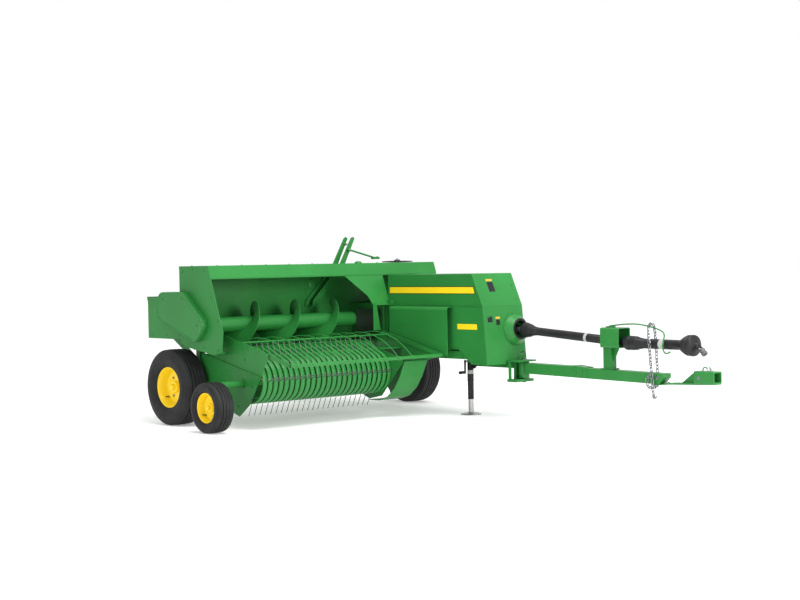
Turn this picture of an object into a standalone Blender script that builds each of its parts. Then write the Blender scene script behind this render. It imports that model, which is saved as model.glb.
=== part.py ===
"""Small square baler with a side pickup, parked on its wheels and jack. Metres, +Z up.

Stations are measured from a datum at the right end of the auger house: x ahead, y to the machine's
left, z up. The empty baler_datum carries every part and sets the origin on the ground, midway
between the hitch and the bale chute and midway between the two outer wheels.
"""
from math import atan2, cos, hypot, pi, radians, sin

import bmesh
import bpy
from mathutils import Matrix, Vector

# ---- overall layout ----
SHEET = 0.006               # folded sheet metal
GAP = 0.0003                # between pieces that are bolted face to face
HITCH_TIP_X = 4.073
CHUTE_TIP_X = -2.00
WHEEL_X = -0.17
LEFT_WHEEL_Y = 2.90
CHAMBER_Y = 2.29            # centre line of the bale chamber
DRIVELINE_Y = 2.43          # centre plane of the tongue and the driveline

# ---- wheels ----
WHEEL_R, WHEEL_W, WHEEL_RIM_R = 0.348, 0.24, 0.187
GAUGE_R, GAUGE_W, GAUGE_RIM_R = 0.222, 0.18, 0.1325
GAUGE_X, GAUGE_Y = 0.68, -0.20
TYRE_CLEARANCE = 0.026      # between the right tyre and the house shelf above it
SPINDLE_R = 0.024
HUB_CLEARANCE = 0.0008

# ---- auger house ----
HOUSE_REAR_X, ROOF_FRONT_X = -0.09, 0.362
ROOF_Z, BAND_Z = 1.451, 1.342
BAND_X = 0.402              # the front of the house leans forward as it comes down
HOUSE_LEFT_Y = 2.747
SHELF_Z = 0.722             # underside of the floor over the right wheel
FLOOR_Z = 0.684             # underside of the auger trough
SHELF_END_Y = 0.14
FLOOR_FRONT_X = 0.400
MOUTH_LEFT_Y = 1.60

# ---- auger ----
AUGER_X, AUGER_Z = 0.21, 0.913
AUGER_TUBE_R, FLIGHT_R = 0.070, 0.207
AUGER_END_Y = 1.785
FLIGHT_START_Y, FLIGHT_END_Y, FLIGHT_PITCH = 0.25, 1.60, 0.465
FLIGHT_START_DEG = 163.5
FLIGHT_THICK = 0.008

# ---- feeder arms through the roof ----
ARM_X = (-0.072, -0.012)
ARM_SPREAD_Y = 0.040        # the front arm stands this far to the left of the rear one
ARM_THICK, ARM_WIDTH = 0.012, 0.046
ARM_PIVOT_Y, ARM_PIVOT_Z = 1.83, 1.405
ARM_TIP_Y, ARM_TIP_Z = -0.375, 1.04     # tip's y is measured from the pivot
ARM_TOP_Y, ARM_TOP_Z = 0.150, 1.714
LINK_EYE_Y, LINK_EYE_Z = 0.105, 1.585
LINK_LENGTH, LINK_DROP = 0.34, 0.085
CRANK_X, CRANK_Y, CRANK_R = 0.10, 2.49, 0.155

# ---- bale chamber and plunger case ----
CHAMBER_HALF_W, CHAMBER_WALL = 0.27, 0.012
CHAMBER_FLOOR_Z, CHAMBER_TOP_Z = 0.62, 1.06
CHAMBER_REAR_X, CASE_REAR_X = -1.70, 0.48
CASE_HALF_W = 0.26
CASE_TOP_Z, CASE_SEAM_Z, CASE_BOTTOM_Z, NOSE_BOTTOM_Z = 1.333, 1.034, 0.633, 0.50
CASE_TOP_FRONT_X, SEAM_FRONT_X, NOSE_FRONT_X, NOSE_REAR_X = 1.635, 1.772, 1.822, 1.62
NEEDLE_OFFSET_Y = 0.10
NEEDLE_PIVOT_X, NEEDLE_PIVOT_Z, NEEDLE_R = -0.20, 0.70, 0.42
NEEDLE_THICK = 0.020

# ---- main frame, axle, jack ----
RAIL_Z = (0.545, 0.6197)
RAIL_HALF_GAUGE, RAIL_W = 0.21, 0.06
RAIL_FRONT_X = 1.80
AXLE_BAR = 0.09
JACK_X, JACK_Y = 1.292, 2.334
JACK_SLEEVE_R, JACK_LEG_R, JACK_SLEEVE_Z = 0.029, 0.0248, (0.145, 0.54)
JACK_FOOT_R, JACK_FOOT_H = 0.10, 0.016

# ---- pickup ----
REEL_X, REEL_Z = 0.75, 0.43
BAND_R, BAND_THICK = 0.20, 0.005
TINE_BAR_R = 0.150
TINE_PITCH, TINE_COUNT, TINE_BARS = 0.060, 24, 4
TINE_THICK, TINE_LENGTH = 0.006, 0.187
TINE_LEAN = (-22, 22, 22, 22)   # degrees off the radius, as the cam holds the bars at rest
BAND_WIDTH, BAND_END_GAP = 0.042, 0.005
PICKUP_RIGHT_Y = 0.150      # inner face of the right shield
PICKUP_REAR_X = 0.405
FLARE_OFFSET = 0.288        # from the pickup's left end plate to the tall flare
LIFT_X, LIFT_Z, LIFT_PIN_R = 0.43, 0.668, 0.012
GUARD_BAR_X, GUARD_BAR_Z, GUARD_PIVOT_X, GUARD_PIVOT_Z = 1.335, 0.585, 0.60, 0.762
GUARD_BAR_R = 0.015
GUARD_RODS = 9

# ---- twine box, driveline, tongue ----
BOX_REAR_X, BOX_FRONT_X, BOX_RIGHT_Y, BOX_LEFT_Y = -0.66, -0.0905, 0.02, 1.92
BOX_Z = (0.783, 1.166)
TONGUE_PIVOT_X = 1.90
TONGUE_HALF_W = 0.05
DRIVE_REAR = Vector((TONGUE_PIVOT_X, DRIVELINE_Y, 0.811))
DRIVE_JOINT = Vector((3.150, DRIVELINE_Y, 0.7225))
DRIVE_FRONT = Vector((3.946, DRIVELINE_Y, 0.717))
REAR_TUBE_R, FRONT_TUBE_R = 0.0385, 0.0425
JOINT_BALL_R, JOINT_GAP = 0.0115, 0.0005

# ---- worked out from the above ----
AXLE_Z = SHELF_Z - TYRE_CLEARANCE - WHEEL_R
GROUND_Z = AXLE_Z - WHEEL_R
BAND_FIRST_Y = PICKUP_RIGHT_Y + BAND_END_GAP + BAND_WIDTH / 2
PICKUP_LEFT_Y = BAND_FIRST_Y + TINE_COUNT * TINE_PITCH + BAND_WIDTH / 2 + BAND_END_GAP
FLARE_Y = PICKUP_LEFT_Y + FLARE_OFFSET
CASE_RIGHT_Y, CASE_LEFT_Y = CHAMBER_Y - CASE_HALF_W, CHAMBER_Y + CASE_HALF_W
CHAMBER_RIGHT_Y, CHAMBER_LEFT_Y = CHAMBER_Y - CHAMBER_HALF_W, CHAMBER_Y + CHAMBER_HALF_W
BRACKET_REAR_X = NOSE_FRONT_X + 0.004
DATUM = Vector((
    -(HITCH_TIP_X + CHUTE_TIP_X) / 2,
    -(LEFT_WHEEL_Y + WHEEL_W / 2 + GAUGE_Y - GAUGE_W / 2) / 2,
    -GROUND_Z,
))


# ------------------------------------------------------------------ scene and materials
def clear_scene():
    for obj in list(bpy.data.objects):
        bpy.data.objects.remove(obj, do_unlink=True)


def collection(name):
    made = bpy.data.collections.new(name)
    bpy.context.scene.collection.children.link(made)
    return made


def material(name, colour, roughness, metallic=0.0):
    made = bpy.data.materials.new(name)
    made.use_nodes = True
    made.diffuse_color = (*colour, 1.0)
    shader = made.node_tree.nodes["Principled BSDF"]
    shader.inputs["Base Color"].default_value = (*colour, 1.0)
    shader.inputs["Roughness"].default_value = roughness
    shader.inputs["Metallic"].default_value = metallic
    return made


clear_scene()
PARTS = collection("square_baler")
GUIDES = collection("cutters")
GREEN = material("green_paint", (0.02, 0.25, 0.05), 0.35)
YELLOW = material("yellow_paint", (0.90, 0.65, 0.01), 0.35)
RUBBER = material("rubber", (0.02, 0.02, 0.02), 0.8)
BLACK = material("black_plastic", (0.015, 0.015, 0.015), 0.4)
STEEL = material("bare_steel", (0.55, 0.55, 0.55), 0.35, 1.0)
ZINC = material("zinc_chain", (0.75, 0.76, 0.78), 0.25, 1.0)
BASE = bpy.data.objects.new("baler_datum", None)
BASE.location = DATUM
PARTS.objects.link(BASE)


# ------------------------------------------------------------------ making shapes
def place(name, data, paint, origin=(0, 0, 0), turn=None):
    """Puts data, made about its own origin, at a station under the datum empty."""
    obj = bpy.data.objects.new(name, data)
    PARTS.objects.link(obj)
    obj.parent = BASE
    obj.location = origin
    if turn is not None:
        obj.rotation_euler = turn.to_euler()
    data.materials.append(paint)
    return obj


def as_tool(obj):
    """Hides an object that only cuts or adds to another."""
    PARTS.objects.unlink(obj)
    GUIDES.objects.link(obj)
    obj.hide_render = True
    obj.display_type = "WIRE"
    return obj


def combine(obj, tool, operation, solver="EXACT"):
    step = obj.modifiers.new(operation.lower(), "BOOLEAN")
    step.operation = operation
    step.solver = solver
    step.object = as_tool(tool)
    return obj


def join(obj, *tools, solver="EXACT"):
    for tool in tools:
        combine(obj, tool, "UNION", solver)
    return obj


def cut(obj, *tools):
    for tool in tools:
        combine(obj, tool, "DIFFERENCE")
    return obj


def box_mesh(low, high, origin):
    made = bpy.data.meshes.new("box")
    body = bmesh.new()
    bmesh.ops.create_cube(body, size=1)
    size = [b - a for a, b in zip(low, high)]
    middle = [(a + b) / 2 - o for a, b, o in zip(low, high, origin)]
    body.transform(Matrix.Translation(middle) @ Matrix.Diagonal((*size, 1)))
    body.to_mesh(made)
    body.free()
    return made


def box(name, low, high, paint, origin=(0, 0, 0)):
    return place(name, box_mesh(low, high, origin), paint, origin)


def to_mesh(obj):
    """Replaces a curve object by its welded mesh."""
    seen = obj.evaluated_get(bpy.context.evaluated_depsgraph_get())
    made = bpy.data.meshes.new_from_object(seen)
    body = bmesh.new()
    body.from_mesh(made)
    bmesh.ops.remove_doubles(body, verts=body.verts, dist=0.00001)
    bmesh.ops.recalc_face_normals(body, faces=body.faces)
    body.to_mesh(made)
    body.free()
    made.materials.clear()
    bpy.data.objects.remove(obj)
    return made


PLANES = {
    "x": Matrix(((0, 0, 1), (1, 0, 0), (0, 1, 0))),     # outline in y, z
    "y": Matrix(((1, 0, 0), (0, 0, -1), (0, 1, 0))),    # outline in x, z
    "z": Matrix.Identity(3),                            # outline in x, y
}


def prism(name, outline, axis, low, high, paint, origin=(0, 0, 0)):
    """A flat outline drawn across an axis and given a thickness from low to high along it."""
    curve = bpy.data.curves.new(name, "CURVE")
    curve.dimensions = "2D"
    curve.fill_mode = "BOTH"
    curve.extrude = (high - low) / 2
    line = curve.splines.new("POLY")
    line.points.add(len(outline) - 1)
    for point, (a, b) in zip(line.points, outline):
        point.co = (a, b, 0, 1)
    line.use_cyclic_u = True
    flat = bpy.data.objects.new(name, curve)
    PARTS.objects.link(flat)
    made = to_mesh(flat)
    along = Vector([float(axis == letter) for letter in "xyz"])
    shift = along * (low + high) / 2 - Vector(origin)
    made.transform(Matrix.Translation(shift) @ PLANES[axis].to_4x4())
    return place(name, made, paint, origin)


def facing(direction):
    """A rotation that takes local Z to the direction."""
    return Vector(direction).to_track_quat("Z", "Y").to_matrix()


def lathe(name, profile, origin, direction, paint, steps=28):
    """Turns (radius, height) points, listed down the outer side, about an axis through origin."""
    closed = profile[0][0] > 0
    made = bpy.data.meshes.new(name)
    edges = [(i, i + 1) for i in range(len(profile) - 1)]
    if closed:
        edges.append((len(profile) - 1, 0))
    made.from_pydata([(radius, 0, height) for radius, height in profile], edges, [])
    obj = place(name, made, paint, origin, facing(direction))
    spin = obj.modifiers.new("spin", "SCREW")
    spin.steps = spin.render_steps = steps
    spin.use_merge_vertices = True
    spin.merge_threshold = 0.00005
    return obj


def rod(name, start, end, radius, paint, steps=12):
    """A round bar from one station to another."""
    start, end = Vector(start), Vector(end)
    length = (end - start).length
    profile = [(0, length), (radius, length), (radius, 0), (0, 0)]
    return lathe(name, profile, start, end - start, paint, steps)


def bent_tube(name, points, radius, paint, origin=(0, 0, 0), sides=2):
    curve = bpy.data.curves.new(name, "CURVE")
    curve.dimensions = "3D"
    curve.bevel_depth = radius
    curve.bevel_resolution = sides
    curve.use_fill_caps = True
    line = curve.splines.new("POLY")
    line.points.add(len(points) - 1)
    for point, station in zip(line.points, points):
        point.co = (*(Vector(station) - Vector(origin)), 1)
    bent = bpy.data.objects.new(name, curve)
    PARTS.objects.link(bent)
    return place(name, to_mesh(bent), paint, origin)


def arc(centre, radius, start, stop, steps):
    """Points of an arc in a plane, angles in degrees."""
    turns = [radians(start + (stop - start) * i / steps) for i in range(steps + 1)]
    return [(centre[0] + radius * cos(a), centre[1] + radius * sin(a)) for a in turns]


def rounded(corners, radius, steps=4):
    """An outline with its corners replaced by arcs of a given radius."""
    outline = []
    count = len(corners)
    for i, corner in enumerate(corners):
        here = Vector(corner)
        before = (Vector(corners[i - 1]) - here).normalized()
        after = (Vector(corners[(i + 1) % count]) - here).normalized()
        half = before.angle(after) / 2
        reach = radius / abs(sin(half) / cos(half))
        centre = here + (before + after).normalized() * radius / sin(half)
        first = here + before * reach - centre
        last = here + after * reach - centre
        start = atan2(first.y, first.x)
        sweep = (atan2(last.y, last.x) - start + pi) % (2 * pi) - pi
        for step in range(steps + 1):
            angle = start + sweep * step / steps
            outline.append((centre.x + radius * cos(angle), centre.y + radius * sin(angle)))
    return outline


def strip(points, thickness):
    """The outline of a bent strip that runs along points, with its thickness to their left."""
    far = []
    for i, point in enumerate(points):
        before = Vector(points[max(i - 1, 0)])
        after = Vector(points[min(i + 1, len(points) - 1)])
        along = (after - before).normalized()
        far.append(tuple(Vector(point) + Vector((-along.y, along.x)) * thickness))
    return list(points) + far[::-1]


# ------------------------------------------------------------------ wheels
def wheel(name, station, tyre_r, width, rim_r, spindle_r):
    """A tyre and its dished rim, turning about a stub spindle; the outer face looks to -y."""
    half = width / 2
    out = (0, -1, 0) if station[1] < CHAMBER_Y else (0, 1, 0)
    tyre = [
        (rim_r + GAP, half * 0.74), (rim_r + 0.02, half * 0.90), (tyre_r * 0.80, half),
        (tyre_r * 0.93, half * 0.92), (tyre_r, half * 0.60), (tyre_r, -half * 0.60),
        (tyre_r * 0.93, -half * 0.92), (tyre_r * 0.80, -half), (rim_r + 0.02, -half * 0.90),
        (rim_r + GAP, -half * 0.74),
    ]
    lathe(f"{name}_tyre", tyre, station, out, RUBBER, 24)
    bore = spindle_r + HUB_CLEARANCE
    edge = half * 0.72
    rim = [
        (bore, edge * 0.55), (bore * 2.1, edge * 0.55), (bore * 2.3, edge * 0.15),
        (rim_r * 0.55, 0), (rim_r * 0.84, edge * 0.25), (rim_r * 0.92, edge),
        (rim_r, edge), (rim_r, -edge), (rim_r * 0.92, -edge), (rim_r * 0.80, -0.012),
        (rim_r * 0.50, -0.022), (bore * 2.3, -0.022), (bore * 2.1, -edge * 0.6),
        (bore, -edge * 0.6),
    ]
    lathe(f"{name}_rim", rim, station, out, YELLOW, 24)


def wheels():
    wheel("right_wheel", (WHEEL_X, 0, AXLE_Z), WHEEL_R, WHEEL_W, WHEEL_RIM_R, SPINDLE_R)
    wheel("left_wheel", (WHEEL_X, LEFT_WHEEL_Y, AXLE_Z), WHEEL_R, WHEEL_W, WHEEL_RIM_R, SPINDLE_R)
    gauge = (GAUGE_X, GAUGE_Y, GROUND_Z + GAUGE_R)
    wheel("gauge_wheel", gauge, GAUGE_R, GAUGE_W, GAUGE_RIM_R, SPINDLE_R * 0.7)


# ------------------------------------------------------------------ axle and main frame
def axle_beam():
    reach = WHEEL_W / 2 + 0.02
    half = AXLE_BAR / 2
    right, left = reach, LEFT_WHEEL_Y - reach
    beam = box("axle_beam", (WHEEL_X - half, right, AXLE_Z - half),
               (WHEEL_X + half, left, AXLE_Z + half), GREEN)
    stub = WHEEL_W / 2 * 0.72 * 0.45
    join(
        beam,
        rod("axle_right_stub", (WHEEL_X, -stub, AXLE_Z), (WHEEL_X, right + 0.05, AXLE_Z), SPINDLE_R, STEEL),
        rod("axle_left_stub", (WHEEL_X, left - 0.05, AXLE_Z),
            (WHEEL_X, LEFT_WHEEL_Y + stub, AXLE_Z), SPINDLE_R, STEEL),
        box("axle_house_post", (WHEEL_X - 0.03, 0.24, AXLE_Z), (WHEEL_X + 0.03, 0.30, FLOOR_Z - GAP), GREEN),
        box("axle_right_post", (WHEEL_X - 0.03, CHAMBER_Y - RAIL_HALF_GAUGE - 0.025, AXLE_Z),
            (WHEEL_X + 0.03, CHAMBER_Y - RAIL_HALF_GAUGE + 0.025, RAIL_Z[0] - GAP), GREEN),
        box("axle_left_post", (WHEEL_X - 0.03, CHAMBER_Y + RAIL_HALF_GAUGE - 0.025, AXLE_Z),
            (WHEEL_X + 0.03, CHAMBER_Y + RAIL_HALF_GAUGE + 0.025, RAIL_Z[0] - GAP), GREEN),
    )


def main_frame():
    """Two rails under the chamber and the case, tied by cross members."""
    low, high = RAIL_Z
    rear = WHEEL_X - 0.07
    rails = []
    for side in (-1, 1):
        middle = CHAMBER_Y + side * RAIL_HALF_GAUGE
        rails.append(box("frame_rail", (rear, middle - RAIL_W / 2, low),
                         (RAIL_FRONT_X, middle + RAIL_W / 2, high), GREEN))
    frame = box("main_frame", (RAIL_FRONT_X - 0.06, CHAMBER_Y - RAIL_HALF_GAUGE - 0.01, low - 0.045),
                (RAIL_FRONT_X, CHAMBER_Y + RAIL_HALF_GAUGE + 0.01, low + 0.03), GREEN)
    inner = RAIL_HALF_GAUGE
    crosses = [box("frame_cross", (x, CHAMBER_Y - inner, low + 0.005),
                   (x + 0.05, CHAMBER_Y + inner, high - 0.005), GREEN) for x in (0.10, 0.62, 1.22)]
    keel = box("frame_keel", (1.24, DRIVELINE_Y - 0.045, low - 0.09),
               (RAIL_FRONT_X + 0.004, DRIVELINE_Y + 0.045, low + 0.006), GREEN)
    nose = box("frame_nose", (1.60, DRIVELINE_Y - 0.040, low - 0.085),
               (BRACKET_REAR_X - GAP, DRIVELINE_Y + 0.040, NOSE_BOTTOM_Z - GAP), GREEN)
    join(frame, *rails, *crosses, keel, nose)


def tongue_bracket():
    """The two jaws that hold the tongue's pivot pin, with the guard loop around them."""
    x, y = TONGUE_PIVOT_X, DRIVELINE_Y
    rear = BRACKET_REAR_X
    top = box("tongue_bracket", (rear + 0.001, y - 0.15, 0.520), (x + 0.075, y + 0.085, 0.534), GREEN)
    lower = box("bracket_foot", (rear + 0.001, y - 0.15, 0.335), (x + 0.040, y + 0.085, 0.360), GREEN)
    back = box("bracket_back", (rear, y - 0.060, 0.334), (rear + 0.014, y + 0.060, 0.530), GREEN)
    strut = box("bracket_strut", (x - 0.055, y - 0.15, 0.335), (x - 0.035, y - 0.13, 0.534), GREEN)
    pin = rod("bracket_pin", (x, y, 0.325), (x, y, 0.580), 0.016, STEEL)
    join(top, lower, back, strut, pin)


# ------------------------------------------------------------------ bale chamber
def bale_chamber():
    """A rectangular tube with a feed opening on its right and slots for the needles."""
    wall = CHAMBER_WALL
    right, left = CHAMBER_RIGHT_Y, CHAMBER_LEFT_Y
    front = CASE_REAR_X - 0.005
    chamber = box("bale_chamber", (CHAMBER_REAR_X, right, CHAMBER_FLOOR_Z),
                  (front, left, CHAMBER_TOP_Z), GREEN)
    bore = box("chamber_bore", (CHAMBER_REAR_X - 0.1, right + wall, CHAMBER_FLOOR_Z + wall),
               (front + 0.1, left - wall, CHAMBER_TOP_Z - wall), GREEN)
    feed = box("feed_opening", (-0.02, right - 0.1, CHAMBER_FLOOR_Z + 0.09),
               (FLOOR_FRONT_X - 0.02, right + 0.1, CHAMBER_TOP_Z - 0.06), GREEN)
    slots = []
    for side in (-1, 1):
        middle = CHAMBER_Y + side * NEEDLE_OFFSET_Y
        half = NEEDLE_THICK / 2 + 0.008
        slots.append(box("needle_slot", (NEEDLE_PIVOT_X - NEEDLE_R - 0.06, middle - half, CHAMBER_FLOOR_Z - 0.1),
                         (NEEDLE_PIVOT_X - NEEDLE_R + 0.13, middle + half, CHAMBER_TOP_Z + 0.1), GREEN))
    cut(chamber, bore, feed, *slots)
    vents = []
    for side in (-1, 1):
        y = CHAMBER_Y + side * CHAMBER_HALF_W
        vents.append(box("side_slot", (CHAMBER_REAR_X + 0.15, y - 0.05, 0.78),
                         (NEEDLE_PIVOT_X - NEEDLE_R - 0.15, y + 0.05, 0.88), GREEN))
    cut(chamber, *vents)
    join(chamber, rod("left_lift_pin", (LIFT_X, FLARE_Y + GAP, LIFT_Z), (LIFT_X, right + 0.006, LIFT_Z), LIFT_PIN_R, STEEL))


def tension_frame():
    """The screw press that squeezes the chamber's top rails at its rear."""
    x0 = CHAMBER_REAR_X + 0.12
    top = CHAMBER_TOP_Z
    half = CHAMBER_HALF_W
    frame = box("tension_frame", (x0, CHAMBER_Y - half, top + GAP), (x0 + 0.42, CHAMBER_Y - half + 0.07, top + 0.05), GREEN)
    join(
        frame,
        box("tension_rail", (x0, CHAMBER_Y + half - 0.07, top + GAP), (x0 + 0.42, CHAMBER_Y + half, top + 0.05), GREEN),
        box("tension_yoke", (x0 + 0.05, CHAMBER_Y - half, top + 0.03), (x0 + 0.13, CHAMBER_Y + half, top + 0.10), GREEN),
        *[rod("tension_screw", (x0 + 0.09, CHAMBER_Y + side * 0.17, top + 0.06),
              (x0 + 0.09, CHAMBER_Y + side * 0.17, top + 0.26), 0.032, GREEN) for side in (-1, 1)],
        *[rod("tension_crank", (x0 + 0.09, CHAMBER_Y + side * 0.17, top + 0.25),
              (x0 + 0.09, CHAMBER_Y + side * 0.17, top + 0.33), 0.010, STEEL) for side in (-1, 1)],
    )


def bale_chute():
    """The chute behind the chamber, hinged at the chamber's floor."""
    barrel = 0.008
    origin = (CHAMBER_REAR_X - barrel - GAP, CHAMBER_Y, CHAMBER_FLOOR_Z + barrel)
    half = CHAMBER_HALF_W - CHAMBER_WALL - 0.008
    front, rear = origin[0], CHUTE_TIP_X
    low = CHAMBER_FLOOR_Z + 0.003
    chute = box("bale_chute", (rear, CHAMBER_Y - half, low), (front, CHAMBER_Y + half, low + SHEET), GREEN, origin)
    join(chute, rod("chute_barrel", (origin[0], CHAMBER_Y - half + 0.01, origin[2]),
                    (origin[0], CHAMBER_Y + half - 0.01, origin[2]), barrel, GREEN))
    for side in (-1, 1):
        y = CHAMBER_Y + side * (half - SHEET / 2)
        lip = [(front - 0.02, low), (front - 0.02, low + 0.05), (rear, low + 0.02), (rear, low)]
        join(chute, prism("chute_lip", lip, "y", y - SHEET / 2, y + SHEET / 2, GREEN))


def needle_yoke():
    """Curved needles on a yoke that swings up through the slots in the chamber's floor."""
    x, z, reach = NEEDLE_PIVOT_X, NEEDLE_PIVOT_Z, NEEDLE_R
    origin = (x, CHAMBER_Y, z)
    outer = CHAMBER_HALF_W + 0.006
    bar = radians(252)
    foot = (x + reach * cos(bar), z + reach * sin(bar))
    yoke = rod("needle_yoke", (foot[0], CHAMBER_Y - outer - 0.015, foot[1]),
               (foot[0], CHAMBER_Y + outer + 0.015, foot[1]), 0.020, GREEN)
    arms = []
    for side in (-1, 1):
        y = CHAMBER_Y + side * (outer + 0.008)
        along = Vector((foot[0] - x, foot[1] - z)).normalized()
        across = Vector((-along.y, along.x)) * 0.025
        top, end = Vector((x, z)) - along * 0.03, Vector(foot)
        outline = [tuple(top - across), tuple(end - across), tuple(end + across), tuple(top + across)]
        arms.append(prism("yoke_arm", outline, "y", y - 0.005, y + 0.005, GREEN))
        seat = CHAMBER_Y + side * (CHAMBER_HALF_W + GAP)
        arms.append(rod("yoke_pin", (x, seat, z), (x, y, z), 0.012, STEEL))
    needles = []
    for side in (-1, 1):
        y = CHAMBER_Y + side * NEEDLE_OFFSET_Y
        outline = arc((x, z), reach + 0.016, 198, 252, 8) + arc((x, z), reach - 0.016, 252, 200, 8)
        needles.append(prism("needle", outline, "y", y - NEEDLE_THICK / 2, y + NEEDLE_THICK / 2, GREEN))
    join(yoke, *arms, *needles)
    return origin


def knotters():
    """The knotter block on the chamber, and its hinged cover."""
    top = CHAMBER_TOP_Z
    left = CHAMBER_LEFT_Y
    right = CHAMBER_RIGHT_Y + 0.02
    rear, front = -0.62, -0.14
    box("knotter_unit", (rear + 0.09, right + 0.05, top + GAP), (front - 0.03, left - 0.06, top + 0.19), STEEL)
    hinge = (rear, left - 0.004, top + 0.010)
    low, high = top + GAP, top + 0.30
    cover = prism("knotter_cover", rounded([(right, low), (left - 0.012, low), (left - 0.012, high), (right, high)], 0.012, 2),
                  "x", rear, front, GREEN, hinge)
    hollow = box("cover_hollow", (rear + SHEET, right + SHEET, low - 0.1), (front - SHEET, left - 0.012 - SHEET, high - SHEET), GREEN)
    cut(cover, hollow)


# ------------------------------------------------------------------ plunger case
def case_shell(name, outline, inner, paint, origin):
    """A sheet-metal shell with the given side outline, opened by the inner outline."""
    shell = prism(name, outline, "y", CASE_RIGHT_Y, CASE_LEFT_Y, paint, origin)
    hollow = prism(f"{name}_hollow", inner, "y", CASE_RIGHT_Y + SHEET, CASE_LEFT_Y - SHEET, paint)
    return cut(shell, hollow)


def upper_cowl():
    """The hood over the plunger drive, hinged along its left lower edge."""
    seam = CASE_SEAM_Z + GAP
    slope = (SEAM_FRONT_X - CASE_TOP_FRONT_X) / (CASE_TOP_Z - CASE_SEAM_Z)
    rear = CASE_REAR_X
    outline = [(rear, seam), (SEAM_FRONT_X, seam), (CASE_TOP_FRONT_X, CASE_TOP_Z), (rear, CASE_TOP_Z)]
    inner = [(rear - 0.05, seam - 0.05), (SEAM_FRONT_X - SHEET + 0.05 * slope, seam - 0.05),
             (CASE_TOP_FRONT_X - SHEET + SHEET * slope, CASE_TOP_Z - SHEET), (rear - 0.05, CASE_TOP_Z - SHEET)]
    return case_shell("upper_cowl", outline, inner, GREEN, (rear, CASE_LEFT_Y, seam))


def lower_case():
    """The fixed lower part of the case, open above, below and behind."""
    rear, top = CASE_REAR_X, CASE_SEAM_Z
    slope = (NOSE_FRONT_X - SEAM_FRONT_X) / (CASE_SEAM_Z - NOSE_BOTTOM_Z)
    outline = [(rear, top), (rear, CASE_BOTTOM_Z), (1.45, CASE_BOTTOM_Z), (NOSE_REAR_X, NOSE_BOTTOM_Z),
               (NOSE_FRONT_X, NOSE_BOTTOM_Z), (SEAM_FRONT_X, top)]
    inner = [(rear - 0.05, top + 0.05), (rear - 0.05, NOSE_BOTTOM_Z - 0.05),
             (NOSE_FRONT_X - SHEET + 0.05 * slope, NOSE_BOTTOM_Z - 0.05), (SEAM_FRONT_X - SHEET - 0.05 * slope, top + 0.05)]
    case = case_shell("lower_case", outline, inner, GREEN, (0, 0, 0))
    port = rod("input_port", (1.6, DRIVELINE_Y, DRIVE_REAR.z), (2.0, DRIVELINE_Y, DRIVE_REAR.z), 0.075, GREEN, 20)
    return cut(case, port)


def driveline_dish():
    """The domed guard around the driveline's rear end, square to the leaning front of the case."""
    lean = atan2(NOSE_FRONT_X - SEAM_FRONT_X, CASE_SEAM_Z - NOSE_BOTTOM_Z)
    normal = Vector((cos(lean), 0, sin(lean)))
    depth = (CASE_SEAM_Z - DRIVE_REAR.z) / (CASE_SEAM_Z - NOSE_BOTTOM_Z)
    face = SEAM_FRONT_X + depth * (NOSE_FRONT_X - SEAM_FRONT_X)
    seat = Vector((face, DRIVELINE_Y, DRIVE_REAR.z)) + normal * GAP
    profile = [(0.080, 0.075), (0.098, 0.075), (0.104, 0.062), (0.128, 0.040), (0.148, 0.004), (0.148, 0),
               (0.140, 0), (0.120, 0.034), (0.096, 0.056), (0.080, 0.060)]
    lathe("driveline_dish", profile, seat, normal, GREEN, 28)


def gearbox():
    """Flywheel and gearbox as one block, with the input stub."""
    rear, front = 1.27, 1.70
    block = box("gearbox_block", (rear, CASE_RIGHT_Y + 0.09, RAIL_Z[1] + GAP),
                (front, CASE_LEFT_Y - 0.03, CASE_SEAM_Z + 0.03), STEEL)
    ball = [(JOINT_BALL_R * sin(pi * i / 8), JOINT_BALL_R * cos(pi * i / 8)) for i in range(6)]
    stub = [(0.008, -0.022), (0.024, -0.022), (0.024, front - 0.02 - DRIVE_REAR.x), (0, front - 0.02 - DRIVE_REAR.x)]
    join(block, lathe("input_stub", ball + stub, DRIVE_REAR, (1, 0, 0), STEEL, 12))


def feeder_shield():
    """The folded guard on the right of the plunger case, open in front and below."""
    rear, front = 0.58, 1.384
    outer, wall = 1.950, CASE_RIGHT_Y - GAP
    points = [(wall, 1.030), (outer + 0.025, 1.030), (outer + 0.007, 1.022), (outer, 1.004), (outer, 0.580)]
    guard = prism("feeder_shield", strip(points, SHEET), "x", rear, front, GREEN)
    back = box("shield_back", (rear, outer + 0.002, 0.60), (rear + SHEET, wall, 1.026), GREEN)
    join(guard, back)


# ------------------------------------------------------------------ auger house
def house_roof():
    """Roof and front band in one folded sheet, slotted for the feeder arms, with their bearing ears."""
    t = SHEET
    outline = [(HOUSE_REAR_X, ROOF_Z - t), (ROOF_FRONT_X - 0.004, ROOF_Z - t), (BAND_X - t, BAND_Z),
               (BAND_X, BAND_Z), (ROOF_FRONT_X, ROOF_Z), (HOUSE_REAR_X, ROOF_Z)]
    roof = prism("house_roof", outline, "y", SHEET + GAP, HOUSE_LEFT_Y, GREEN)
    slot = box("arm_slot", (ARM_X[0] - 0.014, ARM_PIVOT_Y - 0.070, ROOF_Z - 0.05),
               (ARM_X[1] + 0.016, ARM_PIVOT_Y + 0.098, ROOF_Z + 0.05), GREEN)
    ear = box("arm_ear", (0.060, ARM_PIVOT_Y - 0.03, ARM_PIVOT_Z - 0.03), (0.068, ARM_PIVOT_Y + 0.03, ROOF_Z - 0.002), GREEN)
    join(cut(roof, slot), ear)


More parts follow.
